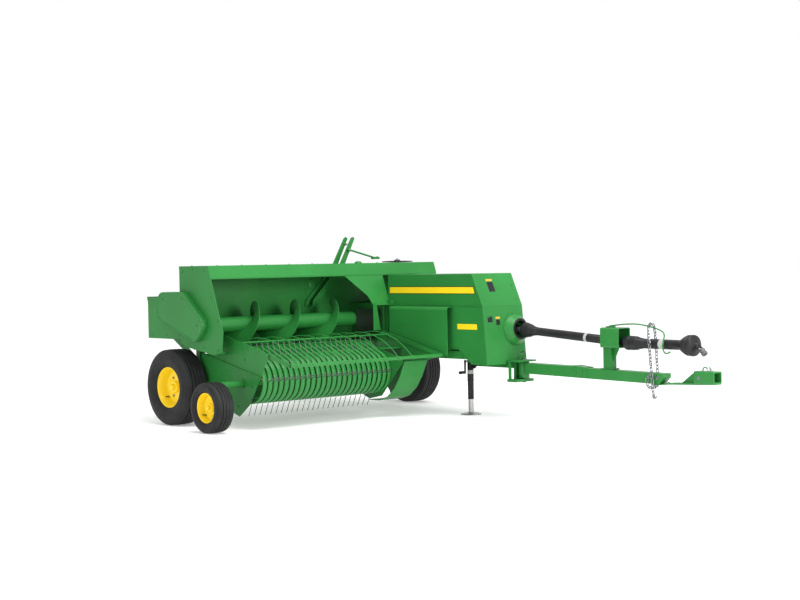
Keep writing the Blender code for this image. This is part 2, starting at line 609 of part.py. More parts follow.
def house_end_panel():
    outline = [(HOUSE_REAR_X, ROOF_Z), (HOUSE_REAR_X, 0.75), (0.0, SHELF_Z - 0.004), (0.446, 0.655),
               (0.560, 0.686), (0.581, 0.858), (ROOF_FRONT_X, ROOF_Z)]
    panel = prism("house_end_panel", outline, "y", 0, SHEET, GREEN)
    pin_end = PICKUP_RIGHT_Y - SHEET - GAP
    join(panel, rod("right_lift_pin", (LIFT_X, SHEET / 2, LIFT_Z), (LIFT_X, pin_end, LIFT_Z), LIFT_PIN_R, STEEL))


def house_rear_panel():
    """The back of the house, notched over the bale chamber."""
    floor, over = SHELF_Z + SHEET + GAP, CHAMBER_TOP_Z + 0.004
    split = CHAMBER_RIGHT_Y - 0.006
    top = ROOF_Z - SHEET - GAP
    outline = [(SHEET + GAP, floor), (split, floor), (split, over), (HOUSE_LEFT_Y, over),
               (HOUSE_LEFT_Y, top), (SHEET + GAP, top)]
    prism("house_rear_panel", outline, "x", HOUSE_REAR_X, HOUSE_REAR_X + SHEET, GREEN)


def house_left_panel():
    low = CHAMBER_TOP_Z + 0.004
    front = CASE_REAR_X - 0.012
    outline = [(HOUSE_REAR_X + SHEET + GAP, low), (front, low), (BAND_X - SHEET - 0.006, BAND_Z),
               (ROOF_FRONT_X - 0.012, ROOF_Z - SHEET - GAP), (HOUSE_REAR_X + SHEET + GAP, ROOF_Z - SHEET - GAP)]
    prism("house_left_panel", outline, "y", HOUSE_LEFT_Y - SHEET, HOUSE_LEFT_Y, GREEN)


def house_front_panel():
    """The leaning sheet between the mouth and the plunger case."""
    lean = (0.581 - ROOF_FRONT_X) / (ROOF_Z - 0.858)
    low, high = 1.042, BAND_Z - GAP
    slant = [(BAND_X - 0.004, high), (BAND_X - 0.004 + lean * (high - low), low)]
    front = prism("house_front_panel", strip(slant[::-1], SHEET), "y", MOUTH_LEFT_Y - 0.11, CASE_RIGHT_Y - 0.004, GREEN)
    top, knee, foot = MOUTH_LEFT_Y - 0.09, MOUTH_LEFT_Y + 0.175, MOUTH_LEFT_Y + 0.21
    mouth = prism("mouth_edge", [(top - 0.2, 0.9), (foot, 0.9), (foot, low), (knee, 1.13), (top, high + 0.02),
                                 (top - 0.2, high + 0.02)], "x", 0.3, 0.7, GREEN)
    cut(front, mouth)
    face = BAND_X - 0.004 + lean * (high - low)
    apron = prism("mouth_apron", [(foot, low + 0.018), (foot + 0.04, low + 0.018), (foot + 0.09, 0.80), (foot, 0.80)],
                  "x", face - SHEET, face, GREEN)
    join(front, apron)


def feed_floor():
    """Trough under the auger, stepped up over the right wheel, with the lip that leads to the chamber."""
    t = SHEET
    step = SHELF_END_Y
    path = [(SHEET + GAP, SHELF_Z), (step, SHELF_Z), (step, FLOOR_Z), (CHAMBER_RIGHT_Y - GAP, FLOOR_Z),
            (CHAMBER_RIGHT_Y - GAP, FLOOR_Z + t), (step + t, FLOOR_Z + t), (step + t, SHELF_Z + t), (SHEET + GAP, SHELF_Z + t)]
    floor = prism("feed_floor", path, "x", HOUSE_REAR_X, FLOOR_FRONT_X, GREEN)
    back = box("floor_back", (HOUSE_REAR_X, step, FLOOR_Z), (HOUSE_REAR_X + t, CHAMBER_RIGHT_Y - 0.006, SHELF_Z + t), GREEN)
    notch = box("shield_notch", (0.285, -0.1, FLOOR_Z - 0.1), (FLOOR_FRONT_X + 0.1, PICKUP_RIGHT_Y + 0.006, SHELF_Z + 0.1), GREEN)
    cut(join(floor, back), notch)


def drive_shield():
    corners = [(-0.455, 0.993), (-0.349, 1.217), (0.030, 1.221), (0.390, 0.925), (0.230, 0.760)]
    prism("drive_shield", rounded(corners[::-1], 0.055), "y", -0.062, -GAP, GREEN)


def auger():
    """Tube with a helical flight, carried at the right end panel and free at its left end."""
    origin = Vector((AUGER_X, 0, AUGER_Z))
    start = SHEET + GAP
    body = rod("auger", origin + Vector((0, start, 0)), origin + Vector((0, AUGER_END_Y, 0)), AUGER_TUBE_R, GREEN, 24)
    turns = (FLIGHT_END_Y - FLIGHT_START_Y) / FLIGHT_PITCH
    steps = int(turns * 20)
    inner, half = AUGER_TUBE_R - 0.012, FLIGHT_THICK / 2
    mesh = bpy.data.meshes.new("auger_flight")
    flight = bmesh.new()
    section = [(inner, -half), (FLIGHT_R, -half), (FLIGHT_R, half), (inner, half)]
    rings = []
    for i in range(steps + 1):
        angle = radians(FLIGHT_START_DEG) + 2 * pi * turns * i / steps
        y = FLIGHT_START_Y + (FLIGHT_END_Y - FLIGHT_START_Y) * i / steps
        rings.append([flight.verts.new((r * cos(angle), y + across, r * sin(angle))) for r, across in section])
    for one, two in zip(rings, rings[1:]):
        for i in range(4):
            j = (i + 1) % 4
            flight.faces.new((one[i], one[j], two[j], two[i]))
    flight.faces.new(rings[0])
    flight.faces.new(rings[-1])
    bmesh.ops.recalc_face_normals(flight, faces=flight.faces)
    flight.to_mesh(mesh)
    flight.free()
    join(body, place("auger_flight", mesh, GREEN, origin))


def feeder_arms():
    """Two bent arms on one cross tube; they reach down into the house and up through the roof."""
    y0, z0 = ARM_PIVOT_Y, ARM_PIVOT_Z
    origin = (ARM_X[0], y0, z0)
    half = ARM_WIDTH / 2
    arms = []
    for i, x in enumerate(ARM_X):
        y = y0 + (i - 0.5) * ARM_SPREAD_Y
        top, tip = (y + ARM_TOP_Y, ARM_TOP_Z), (y + ARM_TIP_Y, ARM_TIP_Z)
        outline = [
            (top[0] - half, top[1] - 0.015), (top[0], top[1]), (top[0] + half, top[1] - 0.015),
            (y + half * 1.15, z0 + 0.01), (tip[0] + 0.07, tip[1] + 0.035), tip, (tip[0] + 0.01, tip[1] + 0.06),
            (y - half * 1.15, z0 + 0.03),
        ]
        arms.append(prism("feeder_arms" if i == 0 else "front_arm", outline, "x", x - ARM_THICK / 2, x + ARM_THICK / 2, GREEN, origin))
    shaft = rod("arm_shaft", (HOUSE_REAR_X + SHEET + 0.0006, y0, z0), (0.0595, y0, z0), 0.018, STEEL)
    tie = rod("arm_tie", (ARM_X[0], y0 + 0.112, ARM_TOP_Z - 0.075), (ARM_X[1], y0 + 0.112, ARM_TOP_Z - 0.075), 0.010, STEEL)
    eye = rod("link_pin", (ARM_X[1] - 0.006, y0 + LINK_EYE_Y, LINK_EYE_Z), (ARM_X[1] + 0.040, y0 + LINK_EYE_Y, LINK_EYE_Z), 0.008, STEEL)
    join(arms[0], arms[1], shaft, tie, eye)


def feeder_link():
    """The rod from the arms towards the crank on the roof; its far eye stays open."""
    start = Vector((ARM_X[1] + 0.024, ARM_PIVOT_Y + LINK_EYE_Y, LINK_EYE_Z))
    end = start + Vector((0, LINK_LENGTH, -LINK_DROP))
    along = (end - start).normalized()
    link = rod("feeder_link", start + along * 0.0192, end, 0.009, GREEN)
    ring = lathe("link_eye", [(0.0087, 0.008), (0.020, 0.008), (0.020, -0.008), (0.0087, -0.008)], start, (1, 0, 0), GREEN, 16)
    fork = box("link_fork", end - Vector((0.016, 0.045, 0.012)), end + Vector((0.016, 0.045, 0.012)), GREEN)
    join(link, ring, fork)


def feeder_crank():
    profile = [(0, 0.028), (0.030, 0.028), (0.030, 0.018), (CRANK_R, 0.014), (CRANK_R, 0.004), (0.040, 0.0005), (0, 0.0005)]
    lathe("feeder_crank", profile, (CRANK_X, CRANK_Y, ROOF_Z), (0, 0, 1), BLACK, 28)


# ------------------------------------------------------------------ pickup
def band_path():
    """The side view of one stripper band, from its lower rear end round the front to its upper rear end."""
    low, high = REEL_Z - BAND_R, REEL_Z + BAND_R
    rear = PICKUP_REAR_X - 0.006
    ramp = [(0.66, high + 0.058), (0.58, high + 0.087), (0.50, high + 0.094), (0.43, high + 0.075)]
    return [(rear, low + 0.012)] + arc((REEL_X, REEL_Z), BAND_R, -90, 66, 7) + ramp + [(rear, high + 0.025)]


def pickup_bands():
    """All the stripper bands on one rear wall, with the cross tube at the hinge."""
    origin = (LIFT_X, 0, LIFT_Z)
    low, high = REEL_Z - BAND_R, REEL_Z + BAND_R
    right, left = PICKUP_RIGHT_Y + GAP, PICKUP_LEFT_Y - GAP
    wall = box("pickup_bands", (PICKUP_REAR_X - 0.012, right, low + 0.004), (PICKUP_REAR_X, left, high + 0.036), GREEN, origin)
    path = band_path()
    y = BAND_FIRST_Y
    band = prism("stripper_band", strip(path, BAND_THICK), "y", y - BAND_WIDTH / 2, y + BAND_WIDTH / 2, GREEN)
    rows = band.modifiers.new("rows", "ARRAY")
    rows.count = TINE_COUNT + 1
    rows.use_relative_offset = False
    rows.use_constant_offset = True
    rows.constant_offset_displace = (0, TINE_PITCH, 0)
    tube = rod("lift_tube", (LIFT_X, right, LIFT_Z), (LIFT_X, left, LIFT_Z), 0.016, GREEN, 8)
    join(wall, band, tube)


def pickup_reel():
    """Shaft, spiders and tine bars; the tines pass between the bands."""
    origin = Vector((REEL_X, 0, REEL_Z))
    right, left = PICKUP_RIGHT_Y + GAP, PICKUP_LEFT_Y - GAP
    reel = rod("pickup_reel", (REEL_X, right, REEL_Z), (REEL_X, left, REEL_Z), 0.022, STEEL)
    first = BAND_FIRST_Y + TINE_PITCH / 2
    discs = [rod("reel_spider", (REEL_X, y - 0.004, REEL_Z), (REEL_X, y + 0.004, REEL_Z), TINE_BAR_R + 0.026, GREEN, 16)
             for y in (right + 0.012, (right + left) / 2, left - 0.012)]
    bars, tines = [], []
    for i in range(TINE_BARS):
        angle = radians(-95 + 360 * i / TINE_BARS)
        away = Vector((cos(angle), 0, sin(angle)))
        side = Vector((-sin(angle), 0, cos(angle)))
        hub = origin + away * TINE_BAR_R
        bars.append(rod("tine_bar", hub + Vector((0, right + 0.005, 0)), hub + Vector((0, left - 0.005, 0)), 0.011, GREEN, 6))
        angle += radians(TINE_LEAN[i])
        away = Vector((cos(angle), 0, sin(angle)))
        side = Vector((-sin(angle), 0, cos(angle)))
        root = hub - away * 0.0053
        tip = hub + away * TINE_LENGTH
        corners = [root - side * 0.0042, tip - side * 0.003, tip + side * 0.003, root + side * 0.0042]
        outline = [(c.x, c.z) for c in corners]
        tine = prism("tine", outline, "y", first - TINE_THICK / 2, first + TINE_THICK / 2, STEEL)
        rows = tine.modifiers.new("rows", "ARRAY")
        rows.count = TINE_COUNT
        rows.use_relative_offset = False
        rows.use_constant_offset = True
        rows.constant_offset_displace = (0, TINE_PITCH, 0)
        tines.append(tine)
    join(reel, *discs, *bars, *tines, solver="MANIFOLD")


def pickup_right_shield():
    """Right end plate of the pickup with the flare that leads into the house."""
    origin = (LIFT_X, 0, LIFT_Z)
    outline = [(0.03, 0.652), (0.03, 0.40), (0.485, 0.148), (0.601, 0.110), (0.758, 0.223), (0.931, 0.477),
               (1.056, 0.676), (0.400, 0.826), (0.330, 0.660)]
    plate = prism("pickup_right_shield", outline, "y", PICKUP_RIGHT_Y - SHEET, PICKUP_RIGHT_Y, GREEN, origin)
    ridge = prism("shield_ridge", [(0.10, 0.650), (0.10, 0.640), (0.925, 0.468), (0.931, 0.477)], "y",
                  PICKUP_RIGHT_Y - 0.022, PICKUP_RIGHT_Y - 0.004, GREEN)
    join(plate, ridge)


def pickup_left_shield():
    """Left end: an inner plate, a bent front sheet and the tall flare beside the plunger case."""
    origin = (LIFT_X, 0, LIFT_Z)
    inner, outer = PICKUP_LEFT_Y, FLARE_Y
    plate = prism("pickup_left_shield", [(0.395, 0.680), (0.395, 0.25), (0.62, 0.165), (0.80, 0.200), (1.10, 0.520), (1.10, 0.560), (0.75, 0.650), (0.46, 0.690)],
                  "y", inner, inner + SHEET, GREEN, origin)
    points = [(0.62, 0.150), (0.76, 0.153), (0.88, 0.190), (0.98, 0.272), (1.06, 0.385), (1.13, 0.530)]
    front = prism("left_front_sheet", strip(points, SHEET), "y", inner + 0.001, outer, GREEN)
    flare = prism("left_flare", [(0.49, 0.800), (0.425, 0.700), (0.411, 0.668), (0.425, 0.636), (0.62, 0.150), (0.76, 0.156), (0.88, 0.192), (0.98, 0.274), (1.06, 0.387), (1.13, 0.532),
                                 (1.315, 0.575), (1.315, 0.600)], "y", outer - SHEET, outer, GREEN)
    deck = box("left_deck", (0.47, inner, 0.634), (0.78, outer, 0.634 + SHEET), GREEN)
    join(plate, front, flare, deck)


def gauge_arm():
    """The arm that carries the gauge wheel from the pickup's right shield."""
    origin = (LIFT_X, 0, LIFT_Z)
    axle = (GAUGE_X, GROUND_Z + GAUGE_R)
    hub = (0.655, 0.405)
    along = Vector((axle[0] - hub[0], axle[1] - hub[1])).normalized()
    across = Vector((-along.y, along.x)) * 0.022
    a, b = Vector(hub) - along * 0.02, Vector(axle) + along * 0.03
    y0 = GAUGE_Y + GAUGE_W / 2 + 0.012
    arm = prism("gauge_arm", [tuple(a - across), tuple(b - across), tuple(b + across), tuple(a + across)], "y", y0, y0 + 0.012, GREEN, origin)
    stub = rod("gauge_stub", (axle[0], GAUGE_Y - 0.02, axle[1]), (axle[0], y0 + 0.006, axle[1]), SPINDLE_R * 0.7, STEEL)
    boss = rod("gauge_boss", (hub[0], y0 + 0.004, hub[1]), (hub[0], PICKUP_RIGHT_Y - SHEET - GAP, hub[1]), 0.030, GREEN, 16)
    join(arm, stub, boss)


def windguard():
    """Cross bar on two arms, with rods that curve back over the pickup."""
    origin = (GUARD_PIVOT_X, 0, GUARD_PIVOT_Z)
    right, left = PICKUP_RIGHT_Y + 0.006, FLARE_Y - SHEET - 0.006
    bar = rod("windguard", (GUARD_BAR_X, right, GUARD_BAR_Z), (GUARD_BAR_X, left, GUARD_BAR_Z), GUARD_BAR_R, GREEN)
    pivot, end = Vector((GUARD_PIVOT_X, GUARD_PIVOT_Z)), Vector((GUARD_BAR_X, GUARD_BAR_Z))
    along = (end - pivot).normalized()
    across = Vector((-along.y, along.x)) * 0.019
    outline = [tuple(pivot - across - along * 0.02), tuple(end - across + along * 0.02),
               tuple(end + across + along * 0.02), tuple(pivot + across - along * 0.02)]
    arms = [prism("guard_arm", outline, "y", y, y + 0.008, GREEN) for y in (right, left - 0.008)]
    cross = rod("guard_cross", (GUARD_PIVOT_X, PICKUP_RIGHT_Y + GAP, GUARD_PIVOT_Z),
                (GUARD_PIVOT_X, FLARE_Y - SHEET - GAP, GUARD_PIVOT_Z), 0.009, GREEN, 8)
    rods = []
    spacing = (PICKUP_LEFT_Y - PICKUP_RIGHT_Y) / GUARD_RODS
    for i in range(GUARD_RODS):
        y = PICKUP_RIGHT_Y + spacing * (i + 0.5)
        path = [(GUARD_BAR_X - 0.002, GUARD_BAR_Z + 0.005), (1.24, 0.665), (1.10, 0.745), (0.92, 0.798),
                (0.75, 0.808), (0.60, 0.785), (0.54, 0.768)]
        rods.append(bent_tube("guard_rod", [(x, y, z) for x, z in path], 0.004, GREEN, sides=0))
    join(bar, *arms, cross, *rods)


# ------------------------------------------------------------------ twine box
def twine_box():
    low, high = BOX_Z
    bin_ = box("twine_box", (BOX_REAR_X, BOX_RIGHT_Y, low), (BOX_FRONT_X, BOX_LEFT_Y, high), GREEN)
    cut(bin_, box("twine_space", (BOX_REAR_X + SHEET, BOX_RIGHT_Y + SHEET, low + SHEET),
                  (BOX_FRONT_X - SHEET, BOX_LEFT_Y - SHEET, high + 0.1), GREEN))
    post = WHEEL_X - 0.03 - GAP
    brace = [(BOX_REAR_X + 0.03, low + 0.001), (BOX_REAR_X + 0.15, low + 0.001), (post, 0.600), (post, 0.535)]
    join(bin_, prism("box_brace", brace[::-1], "y", 0.250, 0.260, GREEN))


def twine_lid():
    high = BOX_Z[1]
    hinge = (BOX_FRONT_X - 0.012, (BOX_RIGHT_Y + BOX_LEFT_Y) / 2, high + 0.0075)
    lid = box("twine_lid", (BOX_REAR_X - 0.012, BOX_RIGHT_Y, high + GAP), (BOX_FRONT_X - 0.014, BOX_LEFT_Y, high + 0.0063), GREEN, hinge)
    join(lid, box("lid_lip", (BOX_REAR_X - 0.012, BOX_RIGHT_Y, high - 0.025), (BOX_REAR_X - 0.012 + SHEET, BOX_LEFT_Y, high + 0.003), GREEN))


# ------------------------------------------------------------------ jack
def jack():
    x, y = JACK_X, JACK_Y
    low, high = JACK_SLEEVE_Z
    wall = 0.0035
    profile = [(JACK_SLEEVE_R - wall, low), (JACK_SLEEVE_R - wall, high - 0.01), (0, high - 0.01)]
    outer = [(0, high), (JACK_SLEEVE_R, high), (JACK_SLEEVE_R, low)]
    sleeve = lathe("jack_sleeve", outer + profile, (x, y, 0), (0, 0, 1), BLACK, 20)
    mount = rod("jack_mount", (x, y + JACK_SLEEVE_R - 0.003, 0.47), (x, DRIVELINE_Y - 0.045 - GAP, 0.47), 0.040, BLACK, 20)
    shaft = rod("jack_crank_shaft", (x, y - 0.075, high - 0.035), (x, y - JACK_SLEEVE_R + 0.004, high - 0.035), 0.009, STEEL)
    crank = prism("jack_crank", [(x - 0.010, high - 0.02), (x - 0.010, high - 0.15), (x + 0.010, high - 0.15), (x + 0.010, high - 0.02)],
                  "y", y - 0.073, y - 0.067, STEEL)
    knob = rod("jack_knob", (x, y - 0.150, high - 0.138), (x, y - 0.070, high - 0.138), 0.014, BLACK)
    join(sleeve, mount, shaft, crank, knob)
    ground = GROUND_Z
    leg = lathe("jack_leg", [(0, high - 0.17), (JACK_LEG_R, high - 0.17), (JACK_LEG_R, ground + JACK_FOOT_H), (JACK_FOOT_R, ground + JACK_FOOT_H * 0.6),
                             (JACK_FOOT_R, ground), (0, ground)], (x, y, 0), (0, 0, 1), STEEL, 28)
    return leg


# ------------------------------------------------------------------ tongue and driveline
def tongue():
    """Box beam with a raised splice, swinging at its rear end."""
    origin = (TONGUE_PIVOT_X, DRIVELINE_Y, 0.45)
    half = TONGUE_HALF_W
    eye = TONGUE_PIVOT_X + 0.075
    outline = [(eye - 0.02, 0.507), (eye - 0.02, 0.411), (3.440, 0.3863), (3.500, 0.3853), (3.555, 0.440), (3.555, 0.476),
               (2.600, 0.491), (2.560, 0.500)]
    beam = prism("tongue", outline, "y", DRIVELINE_Y - half, DRIVELINE_Y + half, GREEN, origin)
    ring = lathe("tongue_eye", [(0.0166, 0.515), (0.050, 0.515), (0.050, 0.365), (0.0166, 0.365)], (TONGUE_PIVOT_X, DRIVELINE_Y, 0), (0, 0, 1), GREEN, 20)
    neck = box("tongue_neck", (TONGUE_PIVOT_X + 0.030, DRIVELINE_Y - 0.035, 0.411), (eye + 0.01, DRIVELINE_Y + 0.035, 0.505), GREEN)
    splice = prism("tongue_splice", [(2.545, 0.412), (2.720, 0.409), (2.690, 0.496), (2.545, 0.510)], "y",
                   DRIVELINE_Y - half - 0.006, DRIVELINE_Y + half + 0.006, GREEN)
    join(beam, ring, neck, splice)


def driveline_support():
    """Post on the tongue with an open housing around the middle joint of the driveline."""
    y = DRIVELINE_Y
    low, high = 0.678, 0.852
    rear, front = 2.890, 3.095
    post = box("driveline_support", (2.885, y - 0.035, 0.4873), (2.975, y + 0.035, low + 0.004), GREEN)
    housing = box("support_housing", (rear, y - 0.080, low), (front, y + 0.080, high), GREEN)
    tunnel = box("support_tunnel", (rear - 0.05, y - 0.072, low + 0.008), (front + 0.05, y + 0.072, high - 0.008), GREEN)
    foot = box("support_foot", (2.860, y - 0.045, 0.4873), (3.000, y + 0.045, 0.4953), GREEN)
    join(post, housing, foot)
    cut(post, tunnel)


def driveline_holder():
    """The bent rod over the driveline that hooks round its front tube for storage."""
    y, top = DRIVELINE_Y, 0.852
    path = [(2.945, y, top + 0.010), (3.10, y, top + 0.030), (3.25, y, top + 0.032), (3.40, y, top + 0.010),
            (3.50, y, top - 0.020), (3.545, y - 0.020, 0.800), (3.560, y - 0.055, 0.745), (3.560, y - 0.062, 0.700),
            (3.560, y - 0.040, 0.655), (3.560, y, 0.645), (3.560, y + 0.035, 0.655)]
    holder = bent_tube("holder_rod", path, 0.006, GREEN)
    foot = box("driveline_holder", (2.910, y - 0.030, top + GAP), (2.980, y + 0.030, top + 0.012), GREEN)
    join(foot, holder)


def driveline():
    """Rear and front half shafts in their guard tubes."""
    axis = (DRIVE_JOINT - DRIVE_REAR).normalized()
    length = (DRIVE_JOINT - DRIVE_REAR).length
    start = JOINT_BALL_R + JOINT_GAP
    bell = [(0, length - 0.050), (0.028, length - 0.050), (0.028, length - 0.200), (REAR_TUBE_R, length - 0.215),
            (REAR_TUBE_R, 0.150), (0.040, 0.135), (0.058, 0.080), (0.070, start + 0.012), (0.062, start), (0, start)]
    lathe("driveline_rear", bell, DRIVE_REAR, axis, BLACK, 20)
    ahead = (DRIVE_FRONT - DRIVE_JOINT).normalized()
    reach = (DRIVE_FRONT - DRIVE_JOINT).length
    front = [(0, reach - 0.055), (0.020, reach - 0.055), (0.030, reach - 0.090), (0.080, reach - 0.100), (0.090, reach - 0.165),
             (0.055, reach - 0.225), (FRONT_TUBE_R, reach - 0.250), (FRONT_TUBE_R, 0.120), (0.056, 0.100), (0.062, 0.050), (0.062, -0.020),
             (0.040, -0.042), (0.0075, -0.042), (0.006, -0.0465), (0.003, -0.0489), (0, -0.0495)]
    shaft = lathe("driveline_front", front, DRIVE_JOINT, ahead, BLACK, 20)
    yoke = rod("driveline_yoke", DRIVE_JOINT + ahead * (reach - 0.075), DRIVE_FRONT + Vector((0.012, 0, -0.080)), 0.026, BLACK)
    join(shaft, yoke)


def hitch_clevis():
    """Drawbar tongue with the box clevis for the tractor's drawbar."""
    y = DRIVELINE_Y
    bar = prism("hitch_clevis", [(3.440, 0.371), (3.600, 0.386), (HITCH_TIP_X, 0.405), (HITCH_TIP_X, 0.420), (3.600, 0.401), (3.505, 0.3850), (3.440, 0.3860)],
                "y", y - 0.045, y + 0.045, GREEN)
    shell = box("clevis_box", (3.870, y - 0.055, 0.404), (HITCH_TIP_X, y + 0.055, 0.512), GREEN)
    throat = box("clevis_throat", (3.885, y - 0.043, 0.424), (HITCH_TIP_X + 0.05, y + 0.043, 0.500), GREEN)
    web = prism("clevis_web", [(3.70, 0.398), (3.872, 0.404), (3.872, 0.500), (3.84, 0.500)], "y", y - 0.006, y + 0.006, GREEN)
    join(bar, shell, web)
    cut(bar, throat)


def safety_chain():
    """The transport chain, looped over the holder rod and round the tongue."""
    y = DRIVELINE_Y
    side = 0.078
    path = [(3.470, y - side, 0.270), (3.455, y - side, 0.420), (3.440, y - side, 0.600), (3.420, y - side + 0.008, 0.760), (3.400, y - 0.045, 0.865),
            (3.392, y, 0.889), (3.385, y + 0.045, 0.865), (3.380, y + side - 0.008, 0.760), (3.385, y + side, 0.560),
            (3.395, y + side, 0.430), (3.400, y + 0.050, 0.352), (3.400, y, 0.340), (3.400, y - 0.050, 0.352), (3.398, y - side, 0.420)]
    bent_tube("safety_chain", path, 0.013, ZINC, sides=2)


def build():
    wheels()
    axle_beam()
    main_frame()
    tongue_bracket()
    bale_chamber()
    tension_frame()
    bale_chute()
    needle_yoke()
    knotters()
    upper_cowl()
    lower_case()
    driveline_dish()
    gearbox()
    feeder_shield()
    house_roof()
    house_end_panel()
    house_rear_panel()
    house_left_panel()
    house_front_panel()
    feed_floor()
    drive_shield()
    auger()
    feeder_arms()
    feeder_link()
    feeder_crank()
    pickup_bands()
    pickup_reel()
    pickup_right_shield()
    pickup_left_shield()
    gauge_arm()
    windguard()
    twine_box()
    twine_lid()
    jack()
    tongue()
    driveline_support()
    driveline_holder()
    driveline()
    hitch_clevis()
    safety_chain()


build()
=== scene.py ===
"""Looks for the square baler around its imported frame: finer pieces, paint, light and camera."""

from math import atan2, cos, pi, radians, sin, sqrt

import bmesh
import bpy
from mathutils import Matrix, Vector


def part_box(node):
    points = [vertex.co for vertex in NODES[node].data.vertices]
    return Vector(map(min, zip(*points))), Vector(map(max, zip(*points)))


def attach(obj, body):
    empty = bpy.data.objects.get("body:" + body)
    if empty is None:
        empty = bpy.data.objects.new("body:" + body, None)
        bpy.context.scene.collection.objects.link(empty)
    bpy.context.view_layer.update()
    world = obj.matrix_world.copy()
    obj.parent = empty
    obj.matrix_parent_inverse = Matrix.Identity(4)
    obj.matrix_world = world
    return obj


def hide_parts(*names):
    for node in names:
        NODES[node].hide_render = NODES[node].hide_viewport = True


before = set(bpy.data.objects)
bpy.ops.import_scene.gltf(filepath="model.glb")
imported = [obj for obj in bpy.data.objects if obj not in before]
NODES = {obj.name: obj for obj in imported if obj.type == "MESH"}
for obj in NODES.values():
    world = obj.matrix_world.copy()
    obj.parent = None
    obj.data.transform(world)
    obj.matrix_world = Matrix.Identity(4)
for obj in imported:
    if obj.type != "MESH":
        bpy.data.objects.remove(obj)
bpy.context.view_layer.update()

# Pieces are placed in the machine's own stations: x ahead, y to its left, z up from the ground.
WHEEL = Vector((-0.17, 0, 0.348))
_low, _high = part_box("right_wheel_tyre")
DATUM = (_low + _high) / 2 - WHEEL
SHAFT_Y, CHAMBER_Y = 2.43, 2.29


# ------------------------------------------------------------------ materials
def surface(name, colour, roughness, metallic=0.0, coat=0.0, mottle=0.06, patch=3.0,
            grain=0.02, grain_scale=350.0, stretch=(1, 1, 1), rounding=0.0, shine=0.35):
    """A Principled surface with uneven colour and gloss, a fine grain, and edges rounded in its shading."""
    material = bpy.data.materials.new(name)
    material.use_nodes = True
    nodes, links = material.node_tree.nodes, material.node_tree.links
    shader = nodes["Principled BSDF"]
    shader.inputs["Metallic"].default_value = metallic
    shader.inputs["Coat Weight"].default_value = coat
    shader.inputs["Coat Roughness"].default_value = 0.06
    shader.inputs["Specular IOR Level"].default_value = shine
    where = nodes.new("ShaderNodeTexCoord")
    mapping = nodes.new("ShaderNodeMapping")
    mapping.inputs["Scale"].default_value = stretch
    links.new(where.outputs["Object"], mapping.inputs["Vector"])

    def noise(scale, detail):
        texture = nodes.new("ShaderNodeTexNoise")
        texture.inputs["Scale"].default_value = scale
        texture.inputs["Detail"].default_value = detail
        links.new(mapping.outputs["Vector"], texture.inputs["Vector"])
        return texture.outputs["Fac"]

    clouds = noise(patch, 6.0)
    ramp = nodes.new("ShaderNodeValToRGB")
    ramp.color_ramp.elements[0].position, ramp.color_ramp.elements[1].position = 0.3, 0.7
    ramp.color_ramp.elements[0].color = (*[c * (1 - mottle) for c in colour], 1)
    ramp.color_ramp.elements[1].color = (*[min(c * (1 + mottle) + mottle * 0.02, 1) for c in colour], 1)
    links.new(clouds, ramp.inputs["Fac"])
    links.new(ramp.outputs["Color"], shader.inputs["Base Color"])
    gloss = nodes.new("ShaderNodeMapRange")
    gloss.inputs["To Min"].default_value = roughness * 0.85
    gloss.inputs["To Max"].default_value = min(roughness * 1.2, 1)
    links.new(noise(patch * 5, 4.0), gloss.inputs["Value"])
    links.new(gloss.outputs["Result"], shader.inputs["Roughness"])
    bump = nodes.new("ShaderNodeBump")
    bump.inputs["Strength"].default_value = grain
    bump.inputs["Distance"].default_value = 0.002
    links.new(noise(grain_scale, 3.0), bump.inputs["Height"])
    if rounding:
        edges = nodes.new("ShaderNodeBevel")
        edges.samples = 4
        edges.inputs["Radius"].default_value = rounding
        links.new(edges.outputs["Normal"], bump.inputs["Normal"])
    links.new(bump.outputs["Normal"], shader.inputs["Normal"])
    return material


GREEN = (0.018, 0.165, 0.030)
PAINT = surface("green_gloss", GREEN, 0.36, coat=0.06, shine=0.22, grain=0.05, grain_scale=120)
SHEET = surface("green_sheet", GREEN, 0.38, coat=0.05, shine=0.20, mottle=0.09, patch=2.0, grain=0.06,
        grain_scale=60, rounding=0.003)
YELLOW = surface("yellow_gloss", (0.80, 0.56, 0.010), 0.36, coat=0.12, mottle=0.04, grain=0.04,
        grain_scale=150)
RUBBER = surface("tyre_rubber", (0.0085, 0.0088, 0.0095), 0.60, shine=0.22, mottle=0.25, patch=9, grain=0.35,
        grain_scale=500)
BLACK = surface("black_guard", (0.007, 0.007, 0.008), 0.40, shine=0.25, mottle=0.2, patch=12, grain=0.12,
        grain_scale=260)
STEEL = surface("bright_steel", (0.38, 0.38, 0.38), 0.34, metallic=1.0, mottle=0.12, grain=0.15,
        grain_scale=220, stretch=(1, 1, 8))
TINE_STEEL = surface("tine_steel", (0.14, 0.14, 0.14), 0.42, metallic=0.85, mottle=0.2, grain=0.1)
ZINC = surface("zinc_plate", (0.20, 0.205, 0.22), 0.26, metallic=1.0, mottle=0.15, patch=30, grain=0.1)
CAST = surface("cast_iron", (0.10, 0.10, 0.10), 0.55, metallic=0.5, mottle=0.3, patch=14, grain=0.5,
        grain_scale=140)
GREY = surface("label_grey", (0.36, 0.36, 0.35), 0.5, mottle=0.02, grain=0.0)
ORANGE = surface("label_orange", (0.62, 0.30, 0.03), 0.5, mottle=0.02, grain=0.0)

for _name, _node in NODES.items():
    _choice = SHEET
    if _name in ("gearbox_block", "knotter_unit"):
        _choice = CAST
    _node.data.materials.clear()
    _node.data.materials.append(_choice)


